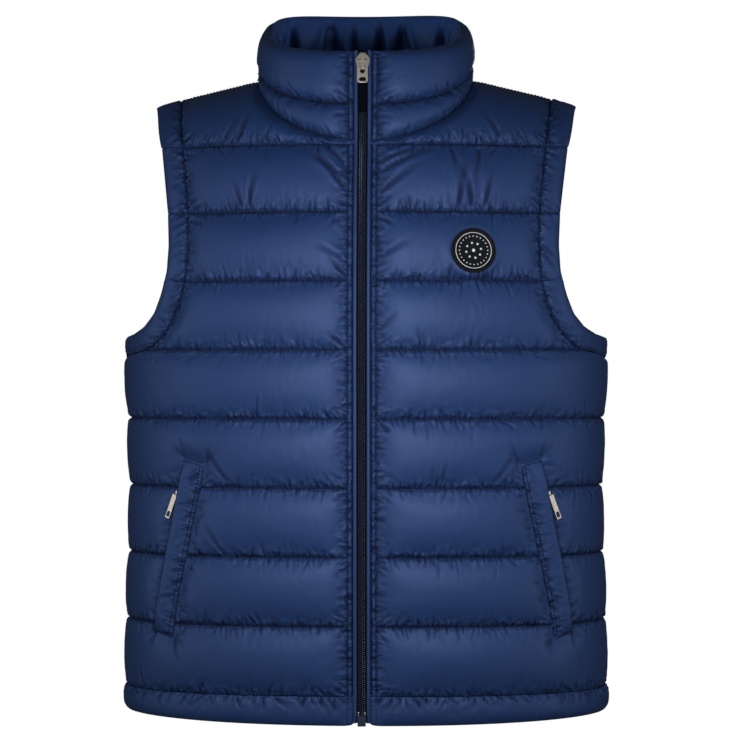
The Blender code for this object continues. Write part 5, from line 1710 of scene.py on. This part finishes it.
class VEST_OT_finishes(bpy.types.Operator):
    """Mix the finishes of cloth, tape, thread, metal and rubber."""
    bl_idname = "vest.finishes"
    bl_label = "Finishes"

    def execute(self, context):
        tone = context.scene.vest_colours
        FINISHES["shell"] = woven_nylon("nylon_taffeta_navy", tone.shell, tone.shell_deep, tone.fold, 0.58)
        # painted light: the facing's navy nylon is coloured lighter than the shell's
        FINISHES["facing"] = woven_nylon("nylon_facing_navy", tone.facing, tone.facing, tone.fold, 0.55)
        # ribbed polyester tape: dull, with a fine rib
        FINISHES["tape"] = plain_finish("polyester_tape_black", tone.tape, 0.85, 0.8, 0.0001, gloss=0.04)
        # drawn nylon monofilament: smooth, with a small gleam on each turn; the black coil is coloured lighter
        # grey-blue, a painted highlight of those gleams
        FINISHES["coil"] = plain_finish("nylon_coil_black", tone.coil, 0.32, 1.5, 0.00004)
        # spun polyester thread: dull twist
        FINISHES["thread"] = plain_finish("polyester_thread_navy", tone.thread, 0.90, 0.6, 0.00005, gloss=0.1)
        # die-cast zinc with satin nickel plate: bright, with soft scratches
        FINISHES["metal"] = plain_finish("nickel_plated_zinc", tone.metal, 0.40, 2.0, 0.00004, 1.0, 0.10)
        # the same zinc, blackened: dim and bluish
        FINISHES["box"] = plain_finish("blackened_zinc", tone.box, 0.45, 2.0, 0.00004, 1.0, 0.10)
        # moulded silicone rubber: matt black with a faint mould texture
        FINISHES["rubber"] = plain_finish("silicone_rubber_black", tone.rubber, 0.70, 0.7, 0.00006, gloss=0.15)
        FINISHES["relief"] = plain_finish("silicone_rubber_pale", tone.print_white, 0.55, 0.7, 0.00004)
        return {"FINISHED"}


class VEST_OT_stage(bpy.types.Operator):
    """Set up the camera, the soft studio light and the plain pale floor."""
    bl_idname = "vest.stage"
    bl_label = "Stage"

    def execute(self, context):
        stage, scene = context.scene.vest_stage, context.scene
        lens = bpy.data.cameras.new("camera")
        lens.sensor_width = 36.0
        lens.lens = lens.sensor_width * stage.distance / stage.view_width
        camera = bpy.data.objects.new("camera", lens)
        camera.location = (stage.aim_x + stage.distance * math.sin(stage.turn),
                           -stage.distance * math.cos(stage.turn), stage.aim_z)
        camera.rotation_euler = (math.pi / 2, 0, stage.turn)
        scene.collection.objects.link(camera)
        scene.camera = camera
        for name, (place, size) in LIGHTS.items():
            self.light(name, place, getattr(stage, name.split("_")[0]), size)
        self.floor(stage.floor_z)
        self.studio(scene, stage.fill)
        scene.view_settings.view_transform = "Standard"
        return {"FINISHED"}

    @staticmethod
    def light(name, place, power, size):
        lamp = bpy.data.lights.new(name, "AREA")
        lamp.shape, lamp.size, lamp.size_y, lamp.energy = "RECTANGLE", *size, power
        made = bpy.data.objects.new(name, lamp)
        made.location = place
        made.visible_camera = False
        made.rotation_euler = (Vector(LIGHT_AIM) - Vector(place)).to_track_quat("-Z", "Y").to_euler()
        bpy.context.scene.collection.objects.link(made)

    @staticmethod
    def floor(level):
        half = FLOOR_HALF
        points = [(-half, -half, level), (half, -half, level), (half, half, level), (-half, half, level)]
        finish, tree, shader = new_finish("painted_floor_white")
        mottle = noise(tree, object_place(tree), 300, 2.0)
        join(tree, shader, Base_Color=blend(tree, mottle, linear("ECECEC"), linear("F2F2F2")))
        # it glows pale to the eye alone: no glow reaches the cloth
        set_values(shader, {"Roughness": 0.8, "Emission Color": (1, 1, 1, 1), "Emission Strength": 0.8})
        made = add_mesh("floor", points, [(0, 1, 2, 3)], finish, False)
        made.visible_diffuse = made.visible_glossy = False

    @staticmethod
    def studio(scene, fill):
        """White surroundings: seen white, and lighting the cloth evenly with less strength."""
        world = bpy.data.worlds.new("studio")
        scene.world = world
        world.use_nodes = True
        tree = world.node_tree
        tree.nodes.clear()
        seen = add_node(tree, "ShaderNodeBackground", [("Color", (1, 1, 1, 1)), ("Strength", 1.0)])
        even = add_node(tree, "ShaderNodeBackground", [("Color", (1, 1, 1, 1)), ("Strength", fill)])
        ray = add_node(tree, "ShaderNodeLightPath")
        mix = add_node(tree, "ShaderNodeMixShader", links=[(0, ray.outputs["Is Camera Ray"]),
                                                           (1, even.outputs[0]), (2, seen.outputs[0])])
        add_node(tree, "ShaderNodeOutputWorld", links=[("Surface", mix.outputs[0])])


class VEST_PT_panel(bpy.types.Panel):
    """Lists the steps that build the vest."""
    bl_idname = "VEST_PT_panel"
    bl_label = "Quilted Vest"
    bl_space_type = "VIEW_3D"
    bl_region_type = "UI"
    bl_category = "Vest"

    def draw(self, context):
        for step in STEPS:
            self.layout.operator(step.bl_idname)


STEPS = (VEST_OT_finishes, VEST_OT_stage, VEST_OT_cut, VEST_OT_fill, VEST_OT_panels, VEST_OT_collar,
         VEST_OT_bands, VEST_OT_zip, VEST_OT_pockets, VEST_OT_badge, VEST_OT_stitching)
GROUPS = {"vest_quilt": VestQuilt, "vest_sewing": VestSewing, "vest_colours": VestColours,
          "vest_stage": VestStage}


def register():
    for group in (*GROUPS.values(), *STEPS, VEST_PT_panel):
        bpy.utils.register_class(group)
    for name, group in GROUPS.items():
        setattr(bpy.types.Scene, name, PointerProperty(type=group))


def unregister():
    for name in GROUPS:
        delattr(bpy.types.Scene, name)
    for group in (VEST_PT_panel, *reversed(STEPS), *GROUPS.values()):
        bpy.utils.unregister_class(group)


def main():
    register()
    for step in STEPS:
        family, name = step.bl_idname.split(".")
        getattr(getattr(bpy.ops, family), name)()


if __name__ == "__main__":
    main()
